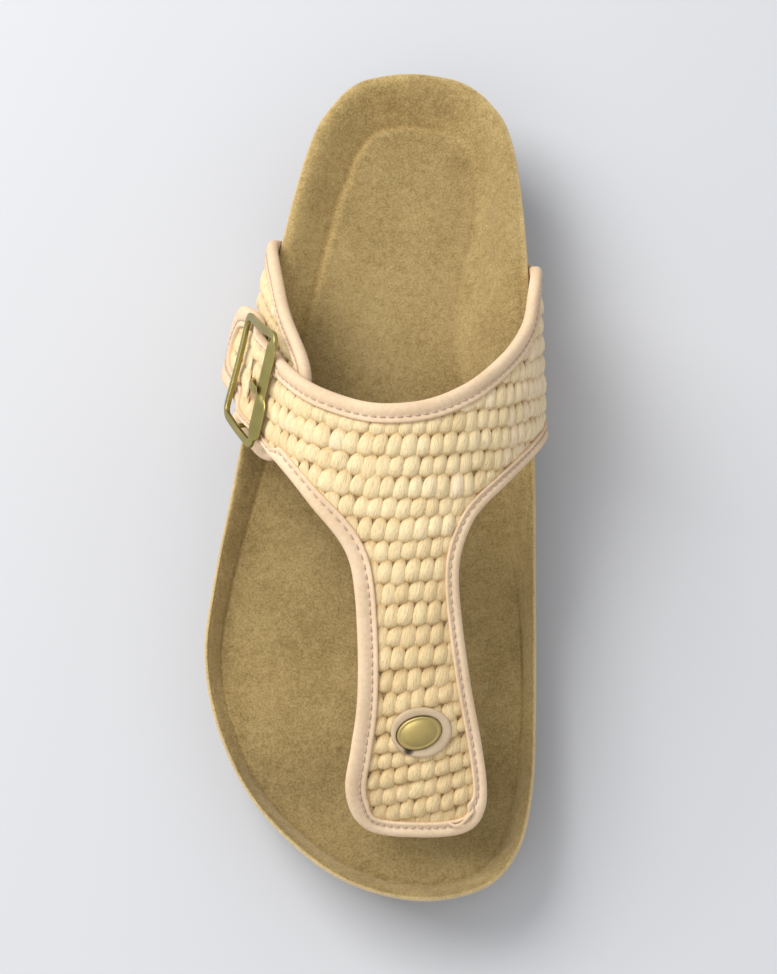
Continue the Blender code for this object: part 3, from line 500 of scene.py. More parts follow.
# rows of s, outer-side lean and inner-side lean
SIDE_LEAN = ((60, 0.0, 0.02), (100, 0.05, 0.03), (125, 0.15, 0.05), (150, 0.25, 0.1), (245, 0.25, 0.1))
OVER_RIM, FIRST_GUESS, GUESSES = 2.5, 30.0, 8
CREST_FLAT, SIDE_STEEP = 0.55, 0.52
WALL_LEAN, WALL_GAP = 0.6, 0.25
STRAP_FOOT = OUTSOLE_THICK + 2 * GAP
SECTION_FROM, SECTION_TO, ARCH_POINTS, WALL_POINTS = 70, 242, 121, 30
BEND_REACH, BEND_SPREAD = 6, 2.0
ACROSS_FROM, ACROSS_TO, ACROSS_STEP = -125.0, 125.0, 0.5


def unit(vectors):
    return vectors / np.linalg.norm(vectors, axis=-1, keepdims=True)


def running_length(points):
    return np.concatenate([[0], np.cumsum(np.linalg.norm(np.diff(points, axis=0), axis=1))])


def points_at(at, run, points):
    """Points of a line at places along its run."""
    return np.stack([np.interp(at, run, column) for column in points.T], axis=1)


def cubic(a, b, c, d, t):
    """Curve from a to d that leaves towards b and arrives from c."""
    return (1 - t) ** 3 * a + 3 * (1 - t) ** 2 * t * b + 3 * (1 - t) * t ** 2 * c + t ** 3 * d


def last_section(crest_s, side):
    """Points down one side of the last from the crest, and their running length."""
    column = 1 if side < 0 else 2
    xc, zc = smooth(CREST, 1, crest_s), smooth(CREST, 2, crest_s)
    turn = FIRST_GUESS
    for _ in range(GUESSES):
        s_side = crest_s - BACK_LEAN[side] * (zc - turn)
        turn = float(smooth(RIM, column, s_side)) + OVER_RIM
    xs = float(edge_x(s_side, side)) + side * WALL_GAP
    across, drop = abs(xs - xc), zc - turn
    lean = float(smooth(SIDE_LEAN, column, crest_s))
    corners = np.array([(xc, zc), (xc + side * CREST_FLAT * across, zc),
                        (xs - side * lean * across, turn + SIDE_STEEP * drop), (xs, turn)])
    arch = cubic(*corners, np.linspace(0, 1, ARCH_POINTS)[:, None])
    arch_s = crest_s - BACK_LEAN[side] * (zc - arch[:, 1])
    wall_z = np.linspace(turn, STRAP_FOOT, WALL_POINTS)[1:]
    wall_s = arch_s[-1] - WALL_LEAN * (turn - wall_z)
    wall_x = edge_x(wall_s, side) + side * (WALL_GAP - UNDERCUT * (turn - wall_z) / (turn - OUTSOLE_THICK))
    points = np.vstack([np.stack([arch[:, 0], arch_s, arch[:, 1]], axis=1),
                        np.stack([wall_x, wall_s, wall_z], axis=1)])
    length = running_length(points)
    # round the bend over the rim
    even = np.arange(0, length[-1] + 1, 1.0)
    mirrored = np.concatenate([-even[BEND_REACH:0:-1], even])
    line = points_at(np.abs(mirrored), length, points)
    line[:BEND_REACH, 0] = 2 * xc - line[:BEND_REACH, 0]
    weight = np.exp(-0.5 * (np.arange(-BEND_REACH, BEND_REACH + 1) / BEND_SPREAD) ** 2)
    weight /= weight.sum()
    soft = np.stack([np.convolve(column, weight, mode="valid") for column in line.T], axis=1)
    even = even[:len(soft)]
    rounded = np.where((length < even[-1])[:, None], points_at(length, even, soft), points)
    return rounded, running_length(rounded)


def last_grid():
    """The last as a grid over stations and distances across, with the straps' ends at the outsole."""
    across = np.arange(ACROSS_FROM, ACROSS_TO + ACROSS_STEP / 2, ACROSS_STEP)
    grid, ends = [], {1: [], -1: []}
    for s in range(SECTION_FROM, SECTION_TO + 1):
        line = np.zeros((len(across), 3))
        for side in (1, -1):
            points, length = last_section(s, side)
            ends[side].append(length[-1])
            mine = across * side >= 0
            q = np.abs(across[mine])
            past = np.maximum(q - length[-1], 0)[:, None]
            line[mine] = points_at(q, length, points) + unit(points[-1] - points[-2]) * past
        grid.append(line)
    return np.array(grid), ends


LAST, STRAP_ENDS = last_grid()
OUTWARD = unit(np.cross(np.gradient(LAST, axis=1), np.gradient(LAST, axis=0)))


def on_grid(grid, s, p):
    """Value of a grid over the last at stations and distances across."""
    s, p = np.broadcast_arrays(np.asarray(s, float), np.asarray(p, float))
    f = np.clip(s - SECTION_FROM, 0, len(grid) - 1.001)
    g = np.clip((p - ACROSS_FROM) / ACROSS_STEP, 0, grid.shape[1] - 1.001)
    i, j = f.astype(int), g.astype(int)
    u, v = (f - i)[..., None], (g - j)[..., None]
    return ((grid[i, j] * (1 - v) + grid[i, j + 1] * v) * (1 - u)
            + (grid[i + 1, j] * (1 - v) + grid[i + 1, j + 1] * v) * u)


def on_last(s, p, lift):
    """Points at a height above the last, along its outward normal."""
    return on_grid(LAST, s, p) + on_grid(OUTWARD, s, p) * np.asarray(lift, float)[..., None]


def strap_end(s, side):
    """Distance across the last to the strap's end at the outsole."""
    return side * np.interp(s, np.arange(SECTION_FROM, SECTION_TO + 1), STRAP_ENDS[side])


# Toe post: a short covered post that stands in the footbed between the first two toes and is riveted to the
# end of the strap, square to it.
STUD = (206.9, 2.5)
POST_RADIUS, POST_FLARE, FLARE_FROM = 4.0, 1.1, 0.75
POST_BASE, POST_LEAVE = np.array([12.4, 206.3, 15.5]), np.array([12.4, 206.3, 19.5])
POST_PULL, AROUND_POST = 0.4, 28
# below 0 in the footbed, from 0 to 1 up the curve to the strap
POST_STEPS = (-1.0, -0.5, *np.linspace(0, 1, 15))
STRAP_LIFT = 1.1
UP = np.array([0.0, 0.0, 1.0])


def full_turn(count):
    return np.linspace(0, 2 * math.pi, count, endpoint=False)


def post_material():
    cover = Finish("covered post", 0.7)
    grain = cover.noise(cover.coordinates(), 900.0, 4.0, 0.6)
    return cover.done({"Base Color": cover.ramp(grain, (0.3, (0.4, 0.29, 0.17)), (0.7, (0.55, 0.42, 0.27))),
                       "Normal": cover.bump(grain, 0.3, 0.0003)})


post_top = on_last(*STUD, STRAP_LIFT - GAP)
pull = np.linalg.norm(post_top - POST_LEAVE) * POST_PULL
above, below = POST_LEAVE + UP * pull, post_top - unit(on_grid(OUTWARD, *STUD)) * pull
rings = []
for t in POST_STEPS:
    if t < 0:
        point, up = POST_LEAVE + (POST_BASE - POST_LEAVE) * -t, UP
    else:
        point = cubic(POST_LEAVE, above, below, post_top, t)
        up = unit((1 - t) ** 2 * (above - POST_LEAVE) + 2 * (1 - t) * t * (below - above)
                  + t * t * (post_top - below))
    side = unit(np.array([1.0, 0, 0]) - up * up[0])
    radius = POST_RADIUS + POST_FLARE * max(0.0, (t - FLARE_FROM) / (1 - FLARE_FROM)) ** 2
    turn = full_turn(AROUND_POST)[:, None]
    rings.append(point + (side * np.cos(turn) + np.cross(up, side) * np.sin(turn)) * radius)
post = make_piece("toe_post_cover", skin(rings), post_material(), sharp=60)
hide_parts("toe_post")


# Woven straps: raffia strands crossing in courses, on a lining, with their edges bound in folded tape that
# is sewn down. The outer strap comes up from the outsole under the buckle, and the T strap lies over it.
EDGE_STEPS, EDGE_STEP, CHUNK = 40, 0.7, 2000
# rows of crest station and distance across along the bound edge, None where the strap meets the outsole
T_EDGE = (
    (92, None), (91.5, 78), (91.3, 65), (96.5, 56.5), (103.5, 50), (109, 41.5), (114.5, 31), (119.3, 21),
    (122.8, 10), (123.8, -1), (123.2, -13), (122, -26), (120.8, -40), (118.3, -57), (118.9, -65), (122, -72),
    (128, -76.5), (135, -77.5), (140.5, -74.5), (143.6, -68), (144.1, -56), (146.2, -40), (149.6, -28.5),
    (155.5, -20), (161.5, -14.8), (168, -12.7), (184, -12.5), (200, -13.7), (212, -16.2), (220.5, -18.1),
    (227, -16.6), (231, -11.5), (232, -1), (231.6, 11), (229.3, 16.4), (224, 18.9), (212, 18.4), (196, 16.3),
    (180, 15), (168, 15.1), (160.5, 17.2), (153.5, 22), (147.5, 32), (142.5, 45), (140, 58), (139, 72),
    (139, None),
)
OUTER_STRAP_EDGE = (
    (105.5, None), (105, -92), (104, -78), (105.6, -57), (110.6, -42.8), (114.8, -32), (118.8, -26.9),
    (123.5, -25.6), (130, -28.5), (142, -35), (147.5, -40.5), (150.6, -46.5), (151.8, -54), (151.3, -66),
    (150.5, -80), (150, None),
)
# where the T strap climbs over the outer strap and the buckle's centre bar, and its free tip stands off
OVERLAP_LIFT, CLIMB_FROM, CLIMB_OVER = 4.7, 8.0, 14.0
NOSE_REAR, NOSE_FRONT = (115.7, -33.8), (147.2, -45.8)
OUTER_REAR, OUTER_FRONT = (118.4, -57.3), (147.0, -66.5)
HUMP_HEIGHT, HUMP_REACH, HUMP_PAST = 2.0, 9.8, -25
TIP_RISE, TIP_FROM, TIP_REACH = 2.0, 1.6, 9.0
LINING_THICK, LINING_INSET, LINING_STEP = 0.7, 1.3, 3.0
LINING_FROM, LINING_TO, HEM_POINTS = 85, 235, 24
# courses across the strap, drawn closer towards the toe and slanting more and more
COURSE_FROM, COURSE_TO, COURSE_PITCH, COURSE_SHIFT = 80.0, 236.0, 5.4, 0.12
END_CLOSER, CLOSER_FROM, CLOSER_OVER = 0.25, 188.0, 26.0
SLANTS, SLANT_OVER = ((0.01, 60.0), (0.065, 146.0), (0.12, 188.0)), 16
TUFTS_EACH_SIDE, UNDER_TAPE, END_CLEAR, HOLE_CLEAR = 44, 2.9, 1.0, (1.5, 1.0)
# how far strands keep inside the edge and the end, how much of their height is left under the tape and
# where it comes back, and how flat they are pressed on the tab
KEEP_IN, KEEP_FROM_END, DRAWN_BACK, HELD_UP = 0.9, 0.3, 0.96, 0.94
TUCKED, SINKS_BEFORE, SINKS_OVER = 0.12, 0.4, 2.0
PRESSED, PRESSED_FROM, PRESSED_OVER = 0.3, 40, 6
STEM_DARKER, DARKER_FROM, DARKER_OVER = 0.5, 140, 60
ARM_LIGHTER, LIGHTER_FROM, LIGHTER_OVER = 0.4, 25, 20
TUFT_PITCH, TUFT_WIDTH, TUFT_HEIGHT, TUFT_LEAN = 3.62, 4.75, 1.25, 0.27
TUFT_LONG, TUFT_CROWN, TUFT_AROUND = 8.6, 1.6, 10
TUFT_SEAT, TUFT_LOWEST = 1.05, 0.3
# by turns from course to course: how proud the tufts lie, and their tone
TUFT_PROUD, TUFT_TONES = (0.22, 0.0), (0.62, 0.5)
# how far the hand strays: along, across, in size, in tone and in turn
STRAY_S, STRAY_P, STRAY_SIZE, STRAY_TONE, STRAY_TURN = 0.18, 0.15, 0.06, 0.13, 0.06
# along a tuft from its blunt end: shares where its rings lie, then rows of share and half width, and of
# share and how far it dips under its neighbours
TUFT_STATIONS = (0.0, 0.05, 0.17, 0.36, 0.56, 0.75, 0.9, 1.0)
TUFT_HALVES = ((0.0, 0.3), (0.05, 0.68), (0.11, 0.86), (0.2, 0.97), (0.34, 1.0), (0.52, 0.86), (0.7, 0.62),
               (0.86, 0.42), (1.0, 0.12))
TUFT_DIPS = ((0.0, 0.5), (0.05, 0.3), (0.11, 0.13), (0.19, 0.03), (0.3, 0.0), (0.46, 0.0), (0.6, 0.05),
             (0.74, 0.16), (0.88, 0.3), (1.0, 0.46))
# the same along a stitch
STITCH_STATIONS = (0.0, 0.08, 0.3, 0.7, 0.92, 1.0)
STITCH_HALVES = ((0.0, 0.15), (0.1, 0.8), (0.5, 1.0), (0.9, 0.8), (1.0, 0.15))
STITCH_DIPS = ((0.0, 0.6), (0.2, 0.1), (0.5, 0.0), (0.8, 0.1), (1.0, 0.6))
STITCH_INSET, STITCH_HEIGHT, STITCH_AROUND, STITCH_LEAN = 3.7, 2.2, 8, 0.12
STITCH_PITCH, STITCH_LONG, STITCH_THICK = 2.1, 1.55, 0.5
STITCH_PULL, PULL_WIDE = 0.28, 0.45
TAPE_WIDTH = 5.3
# share of that width turned down along the inner side of the T strap's stem, across its end, in the buckle
STEM_TURNED, END_TURNED, BUCKLE_TURNED = 0.27, 0.3, 0.6
# where each of these begins or ends, and over what length
STEM_ACROSS, STEM_BEGINS, STEM_ENDS, END_BEGINS = (4, 8), (137, 6), (228, 6), (226, 5)
BUCKLE_BEGINS, BUCKLE_ENDS = (33, 5), (-61, 4)
# rows of inset from the edge and height over the strap's underside, round the folded tape
TAPE = ((TAPE_WIDTH, -0.45), (3.0, -0.75), (1.2, -0.8), (0.45, -0.55), (0.08, 0.1), (0.0, 0.75), (0.08, 1.4),
        (0.5, 2.05), (1.2, 2.45), (2.0, 2.55), (2.8, 2.42), (3.3, 2.2), (3.7, 2.08), (4.1, 2.18),
        (4.7, 2.34), (5.15, 2.3), (TAPE_WIDTH, 2.0), (5.2, 1.2))


def bar_line(s):
    """Distance across at the buckle's centre bar, midway between its nose bar and its outer bar."""
    share = (s - NOSE_REAR[0]) / (NOSE_FRONT[0] - NOSE_REAR[0])
    rear, front = (NOSE_REAR[1] + OUTER_REAR[1]) / 2, (NOSE_FRONT[1] + OUTER_FRONT[1]) / 2
    return rear + share * (front - rear)


def t_lift(s, p):
    """Underside of the T strap over the last, with its climb, its hump over the bar and its free tip."""
    rise = past(-p, CLIMB_FROM, CLIMB_OVER) * (OVERLAP_LIFT - STRAP_LIFT)
    off = np.abs(p - bar_line(s)) / HUMP_REACH
    hump = (p < HUMP_PAST) * HUMP_HEIGHT * np.cos(np.minimum(off, 1) * math.pi / 2) ** 2
    share = (s - OUTER_REAR[0]) / (OUTER_FRONT[0] - OUTER_REAR[0])
    outer = OUTER_REAR[1] + share * (OUTER_FRONT[1] - OUTER_REAR[1])
    return STRAP_LIFT + rise + hump + TIP_RISE * past(outer - p, TIP_FROM, TIP_REACH)


def outer_lift(s, p):
    return STRAP_LIFT + 0.0 * s


def edge_path(rows, side_of_ends):
    """Even points along a bound edge in millimetres on the strap, with their inward directions and run."""
    points = np.array([(s, strap_end(s, side_of_ends) if p is None else p) for s, p in rows], float)
    dense = np.vstack([curve_through(points, EDGE_STEPS, False), points[-1:]])
    run = running_length(dense)
    even = np.linspace(0, run[-1], int(run[-1] / EDGE_STEP) + 1)
    path = points_at(even, run, dense)
    tangent = unit(np.gradient(path, axis=0))
    inward = np.stack([-tangent[:, 1], tangent[:, 0]], axis=1)
    if (path[-1] - path[0]) @ inward[0] < 0:
        inward = -inward
    return path, inward, even


def tape_share(path, side_of_ends):
    """Share of the tape's width that lies on top of a strap: all of it on the outer strap."""
    s, p = path.T
    if side_of_ends < 0:
        return np.ones(len(path))
    along_stem = STEM_TURNED * past(p, *STEM_ACROSS) * past(s, *STEM_BEGINS)
    along_stem = along_stem * ease((STEM_ENDS[0] - s) / STEM_ENDS[1])
    across_end = END_TURNED * past(s, *END_BEGINS)
    in_buckle = BUCKLE_TURNED * past(-p, *BUCKLE_BEGINS) * past(p, *BUCKLE_ENDS)
    return 1 - along_stem - across_end - in_buckle


def pattern_points(name, s, p, height, turn, tone, size):
    """Points for strands on the flat pattern, across along X and heelwards along Y, with what each needs."""
    mesh = bpy.data.meshes.new(name)
    mesh.from_pydata(np.stack([p, -s, height], axis=1).tolist(), [], [])
    rows = (("size", "FLOAT_VECTOR", "vector", size), ("turn", "FLOAT", "value", turn),
            ("tone", "FLOAT", "value", tone))
    for key, kind, field, values in rows:
        layer = mesh.attributes.new(key, kind, "POINT")
        layer.data.foreach_set(field, np.asarray(values, np.float32).ravel())
    return in_scene(name, mesh)


class StrandNodes(Nodes):
    """Geometry nodes: a strand's visible loop on each point, blunt at one end and dipping at both."""

    def __init__(self, name, around, stations, halves, dips):
        super().__init__(bpy.data.node_groups.new(name, "GeometryNodeTree"))
        face = self.tree.interface
        face.new_socket("Points", in_out="INPUT", socket_type="NodeSocketGeometry")
        self.sockets = {key: face.new_socket(key, in_out="INPUT", socket_type="NodeSocket" + kind).identifier
                        for key, kind in (("Lean", "Float"), ("Crown", "Float"), ("Finish", "Material"))}
        face.new_socket("Strands", in_out="OUTPUT", socket_type="NodeSocketGeometry")
        entry = self.add("NodeGroupInput").outputs
        steps = len(stations) - 1
        sizes = {"Vertices": around, "Side Segments": steps, "Radius": 0.5, "Depth": 1.0}
        tube = self.add("GeometryNodeMeshCylinder", sizes, fill_type="NGON").outputs["Mesh"]
        lying = self.add("GeometryNodeTransform", {"Geometry": tube, "Rotation": (-math.pi / 2, 0, 0)})
        spot = self.add("GeometryNodeInputPosition").outputs[0]
        x, y, z = self.add("ShaderNodeSeparateXYZ", {"Vector": spot}).outputs
        share = self.curve(self.math("ADD", y, 0.5), [(k / steps, at) for k, at in enumerate(stations)])
        half, dip = self.curve(share, halves), self.curve(share, dips)
        along = self.math("SUBTRACT", share, 0.5)
        leaning = self.math("MULTIPLY", along, entry["Lean"])
        sideways = self.math("ADD", self.math("MULTIPLY", x, half), leaning)
        steep = self.math("POWER", self.math("ABSOLUTE", self.math("MULTIPLY", z, 2.0)), entry["Crown"])
        rise = self.math("MULTIPLY", steep, self.math("MULTIPLY", self.math("SIGN", z), 0.5))
        upward = self.math("SUBTRACT", self.math("MULTIPLY", rise, half), dip)
        bent, fibre = self.vector(sideways, along, upward), self.vector(x, share, z)
        keep = self.store("strand", "FLOAT_VECTOR", "POINT", lying.outputs["Geometry"], fibre)
        shaped = self.add("GeometryNodeSetPosition", {"Geometry": keep, "Position": bent})
        spun = self.vector(0.0, 0.0, self.read("turn", "FLOAT"))
        swung = self.add("FunctionNodeEulerToRotation", {0: spun})
        laid = self.add("GeometryNodeInstanceOnPoints", {
            "Points": entry["Points"], "Instance": shaped.outputs[0], "Rotation": swung.outputs[0],
            "Scale": self.read("size", "FLOAT_VECTOR")})
        toned = self.store("shade", "FLOAT", "INSTANCE", laid.outputs[0], self.read("tone", "FLOAT"))
        real = self.add("GeometryNodeRealizeInstances", {"Geometry": toned}).outputs[0]
        dressed = self.add("GeometryNodeSetMaterial", {"Geometry": real, "Material": entry["Finish"]})
        self.add("NodeGroupOutput", {"Strands": dressed.outputs[0]})

    def vector(self, x, y, z):
        return self.add("ShaderNodeCombineXYZ", {"X": x, "Y": y, "Z": z}).outputs[0]

    def read(self, name, kind):
        made = self.add("GeometryNodeInputNamedAttribute", {"Name": name}, data_type=kind)
        return made.outputs["Attribute"]

    def store(self, name, kind, domain, geometry, value):
        inputs = {"Name": name, "Geometry": geometry, "Value": value}
        return self.add("GeometryNodeStoreNamedAttribute", inputs, data_type=kind, domain=domain).outputs[0]

    def curve(self, factor, rows):
        """Smooth curve through rows of place and value, read at a factor."""
        made = self.add("ShaderNodeFloatCurve", {"Value": factor})
        points = made.mapping.curves[0].points
        while len(points) < len(rows):
            points.new(0.5, 0.5)
        for point, row in zip(points, rows):
            point.location = row
        made.mapping.update()
        return made.outputs["Value"]

    def strands(self, cloud, values):
        """Run on pattern points: a plain mesh, and its stations, distances across and heights."""
        modifier = cloud.modifiers.new(self.tree.name, "NODES")
        modifier.node_group = self.tree
        for key, value in values.items():
            modifier[self.sockets[key]] = value
        mesh = bpy.data.meshes.new_from_object(cloud.evaluated_get(bpy.context.evaluated_depsgraph_get()))
        bpy.data.objects.remove(cloud)
        spots = np.zeros(len(mesh.vertices) * 3)
        mesh.vertices.foreach_get("co", spots)
        p, back, height = spots.reshape(-1, 3).T
        return mesh, -back, p, height


def drape(name, mesh, s, p, height):
    """Lay a flat mesh over the last at heights above it, and let it ride on the sandal."""
    mesh.name = name
    mesh.vertices.foreach_set("co", place(on_last(s, p, height)).astype(np.float32).ravel())
    mesh.shade_smooth()
    mesh.update()
    piece = in_scene(name, mesh)
    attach(piece, "root")
    return piece


def lining_material():
    lining = Finish("strap lining", 0.85)
    spot = lining.coordinates()
    cloud, cloth = lining.noise(spot, 300.0, 4.0), lining.cells(spot, 1300.0)
    # this dark brown shows between the tufts: partly the ground's own colour, partly painted shade in the
    # gaps
    colour = lining.ramp(cloud, (0.3, (0.27, 0.17, 0.085)), (0.7, (0.4, 0.275, 0.15)))
    return lining.done({"Base Color": colour, "Normal": lining.bump(cloth, 0.4, 0.0004)})


def raffia_material():
    raffia = Finish("raffia", 0.55)
    strand, shade = raffia.attribute("strand", "Vector"), raffia.attribute("shade")
    shift = raffia.add("ShaderNodeCombineXYZ", {"Z": raffia.math("MULTIPLY", shade, 37.0)}).outputs[0]
    stretched = raffia.add("ShaderNodeMapping", {"Scale": (12.0, 1.6, 4.0), "Rotation": (0.0, 0.0, -0.25),
                                                 "Vector": strand, "Location": shift}).outputs[0]
    fibres = raffia.noise(stretched, 1.7, 3.0, 0.7)
    tone = raffia.ramp(shade, (0.0, (0.74, 0.555, 0.29)), (0.35, (0.82, 0.64, 0.355)),
                       (0.75, (0.88, 0.71, 0.42)), (1.0, (0.9, 0.72, 0.48)))
    streak = raffia.ramp(fibres, (0.34, (0.6, 0.52, 0.4)), (0.5, (0.95, 0.93, 0.9)), (0.7, WHITE))
    along = raffia.add("ShaderNodeSeparateXYZ", {"Vector": strand}).outputs["Y"]
    # painted shade at both ends of each tuft, where it dips under its neighbours and into the holes between
    # them
    painted_end_shade = raffia.ramp(along, (0.0, (0.5, 0.36, 0.22)), (0.08, (0.9, 0.83, 0.74)), (0.16, WHITE),
                         (0.58, WHITE), (0.76, (0.9, 0.82, 0.7)), (0.94, (0.48, 0.33, 0.2)))
    fine = raffia.noise(raffia.coordinates(), 1600.0)
    return raffia.done({
        "Base Color": raffia.mix(1.0, raffia.mix(0.75, tone, streak), painted_end_shade),
        "Normal": raffia.bump(fine, 0.12, 0.0002, raffia.bump(fibres, 0.7, 0.0006)),
        "Subsurface Weight": 0.08, "Subsurface Radius": (0.0012, 0.0008, 0.0004)})


def tape_material():
    tape = Finish("edge tape", 0.78)
    spot = tape.coordinates()
    grain = tape.noise(spot, 900.0, 4.0, 0.6)
    colour = tape.ramp(tape.noise(spot, 55.0), (0.3, (0.645, 0.475, 0.302)), (0.7, (0.74, 0.558, 0.375)))
    speck = tape.ramp(grain, (0.3, (0.9, 0.87, 0.84)), (0.6, WHITE))
    return tape.done({"Base Color": tape.mix(1.0, colour, speck), "Normal": tape.bump(grain, 0.18, 0.0003),
                      "Specular IOR Level": 0.3})


def thread_material():
    thread = Finish("sewing thread", 0.6)
    twist = thread.add("ShaderNodeTexWave", {"Scale": 4.0, "Distortion": 1.0,
                                             "Vector": thread.attribute("strand", "Vector")}).outputs["Fac"]
    colour = thread.ramp(twist, (0.2, (0.42, 0.3, 0.21)), (0.8, (0.58, 0.43, 0.31)))
    return thread.done({"Base Color": colour, "Normal": thread.bump(twist, 0.3, 0.0002)})


RAFFIA, TAPE_FINISH, THREAD = raffia_material(), tape_material(), thread_material()
TUFTS = StrandNodes("raffia tufts", TUFT_AROUND, TUFT_STATIONS, TUFT_HALVES, TUFT_DIPS)
STITCHES = StrandNodes("sewn stitches", STITCH_AROUND, STITCH_STATIONS, STITCH_HALVES, STITCH_DIPS)


def closeness(s):
    """How close the courses lie, 1 where they have their full pitch: they are drawn in towards the toe."""
    return 1 - END_CLOSER * past(s, CLOSER_FROM, CLOSER_OVER)


class Strap:
    """One woven strap on its flat pattern, with the pieces it is made of."""

    def __init__(self, names, rows, side_of_ends, lift, holes=()):
        self.names, self.side, self.lift, self.holes = names, side_of_ends, lift, holes
        self.path, self.inward, self.run = edge_path(rows, side_of_ends)
        self.share = tape_share(self.path, side_of_ends)

    def end(self, s):
        return strap_end(s, self.side)

    def inside_by(self, s, p):
        """Distance of pattern points inside the bound edge, negative outside, and its nearest point."""
        points, path = np.stack([s, p], axis=1), self.path
        away, nearest = np.zeros(len(points)), np.zeros(len(points), int)
        within = np.zeros(len(points), bool)
        a, b = path, np.roll(path, -1, axis=0)
        rise = np.where(b[:, 0] == a[:, 0], 1e-9, b[:, 0] - a[:, 0])
        for k in range(0, len(points), CHUNK):
            some = points[k:k + CHUNK, None]
            gap = np.linalg.norm(some - path[None], axis=2)
            nearest[k:k + CHUNK] = gap.argmin(axis=1)
            away[k:k + CHUNK] = gap.min(axis=1)
            crosses = (a[:, 0] > some[:, :, 0]) != (b[:, 0] > some[:, :, 0])
            where = a[:, 1] + (some[:, :, 0] - a[:, 0]) * (b[:, 1] - a[:, 1]) / rise
            within[k:k + CHUNK] = (crosses & (some[:, :, 1] < where)).sum(axis=1) % 2 == 1
        return np.where(within, away, -away), nearest

    def lining(self):
        """The lining and ground under the strands, cut to the pattern inside the tape."""
        rim = self.path + self.inward * LINING_INSET
        for end in (0, -1):
            rim[end][1] = self.end(rim[end][0])
        flat = bmesh.new()
        hem = [(s, self.end(s)) for s in np.linspace(rim[-1][0], rim[0][0], HEM_POINTS)[1:-1]]
        flat.faces.new([flat.verts.new((p, s, 0)) for s, p in [*rim[::2], rim[-1], *hem]])
        for axis, start, stop in ((1, LINING_FROM, LINING_TO), (0, ACROSS_FROM, ACROSS_TO)):
            for cut in np.arange(start, stop, LINING_STEP):
                point, normal = [0, 0, 0], [0, 0, 0]
                point[axis], normal[axis] = cut, 1
                bmesh.ops.bisect_plane(flat, geom=flat.faces[:] + flat.edges[:] + flat.verts[:], dist=0.01,
                                       plane_co=point, plane_no=normal)
        for middle, half in self.holes:
            gone = [f for f in flat.faces if abs(f.calc_center_median().y - middle[0]) < half[0]
                    and abs(f.calc_center_median().x - middle[1]) < half[1]]
            bmesh.ops.delete(flat, geom=gone, context="FACES")
        bmesh.ops.triangulate(flat, faces=flat.faces)
        flat.verts.ensure_lookup_table()
        flat.verts.index_update()
        s, p = np.array([(v.co.y, v.co.x) for v in flat.verts]).T
        data = bmesh.new()
        under, top = ([data.verts.new(spot) for spot in place(on_last(s, p, self.lift(s, p) + rise))]
                      for rise in (0.0, LINING_THICK))
        for f in flat.faces:
            data.faces.new([top[v.index] for v in f.verts])
            data.faces.new([under[v.index] for v in reversed(f.verts)])
        for e in flat.edges:
            if e.is_boundary:
                a, b = (v.index for v in e.verts)
                data.faces.new((top[a], top[b], under[b], under[a]))
        flat.free()
        return make_piece(self.names + "_lining", data, lining_material(), sharp=40)

    def weave(self, seed):
        """Raffia tufts in courses that run under the tape, sinking as they go under."""
        chance = np.random.default_rng(seed)
        courses = [COURSE_FROM]
        while courses[-1] < COURSE_TO:
            courses.append(courses[-1] + COURSE_PITCH * closeness(courses[-1]))
        k, j = (grid.ravel() for grid in np.meshgrid(np.arange(len(courses)),
                                                     np.arange(-TUFTS_EACH_SIDE, TUFTS_EACH_SIDE + 1)))
        s = np.array(courses)[k]
        near = closeness(s)
        p = TUFT_PITCH * (j + (COURSE_SHIFT * k) % 1.0)
        s = s - p * sum(slant * past(s, begin, SLANT_OVER) for slant, begin in SLANTS)
        inset, nearest = self.inside_by(s, p)
        keep = inset - TAPE_WIDTH * self.share[nearest] > -UNDER_TAPE
        keep &= p * self.side < np.abs(self.end(s)) - END_CLEAR
        for middle, half in self.holes:
            keep &= ((np.abs(s - middle[0]) > half[0] + HOLE_CLEAR[0])
                     | (np.abs(p - middle[1]) > half[1] + HOLE_CLEAR[1]))
        even, near, count = k[keep] % 2 == 0, near[keep], keep.sum()
        s = s[keep] + chance.normal(0, STRAY_S, count)
        p = p[keep] + chance.normal(0, STRAY_P, count)
        size = np.array([TUFT_WIDTH, TUFT_LONG, 2 * TUFT_HEIGHT]) * chance.normal(1, STRAY_SIZE, (count, 3))
        size[:, 1] *= near
        tone = chance.normal(np.where(even, *TUFT_TONES), STRAY_TONE)
        # painted shade: the raffia is darker down the stem towards the toe; it is also lighter on the inner
        # arm
        tone = tone - STEM_DARKER * past(s, DARKER_FROM, DARKER_OVER)
        tone = np.clip(tone + ARM_LIGHTER * past(p, LIGHTER_FROM, LIGHTER_OVER), 0, 1)
        turn = chance.normal(0, STRAY_TURN, count)
        cloud = pattern_points(self.names + "_points", s, p, np.where(even, *TUFT_PROUD), turn, tone, size)
        mesh, s, p, height = TUFTS.strands(cloud, {
            "Lean": TUFT_LEAN * TUFT_LONG / TUFT_WIDTH, "Crown": TUFT_CROWN, "Finish": RAFFIA})
        # drawn back inside the edge and the strap's end, softly, so that no face is folded flat
        inset, nearest = self.inside_by(s, p)
        back = DRAWN_BACK * np.maximum(KEEP_IN - inset, 0)
        s, p = s + self.inward[nearest, 0] * back, p + self.inward[nearest, 1] * back
        over = np.maximum(p * self.side - (np.abs(self.end(s)) - KEEP_FROM_END), 0)
        p = p - self.side * DRAWN_BACK * over
        inner = inset - TAPE_WIDTH * self.share[nearest]
        free = TUCKED + (1 - TUCKED) * ease((inner + SINKS_BEFORE) / SINKS_OVER)
        if self.side > 0:
            free = free * (1 - PRESSED * past(-p, PRESSED_FROM, PRESSED_OVER))
        height = TUFT_SEAT + height * free
        height = height + HELD_UP * np.maximum(TUFT_LOWEST - height, 0)
        return drape(self.names + "_weave", mesh, s, p, self.lift(s, p) + height)

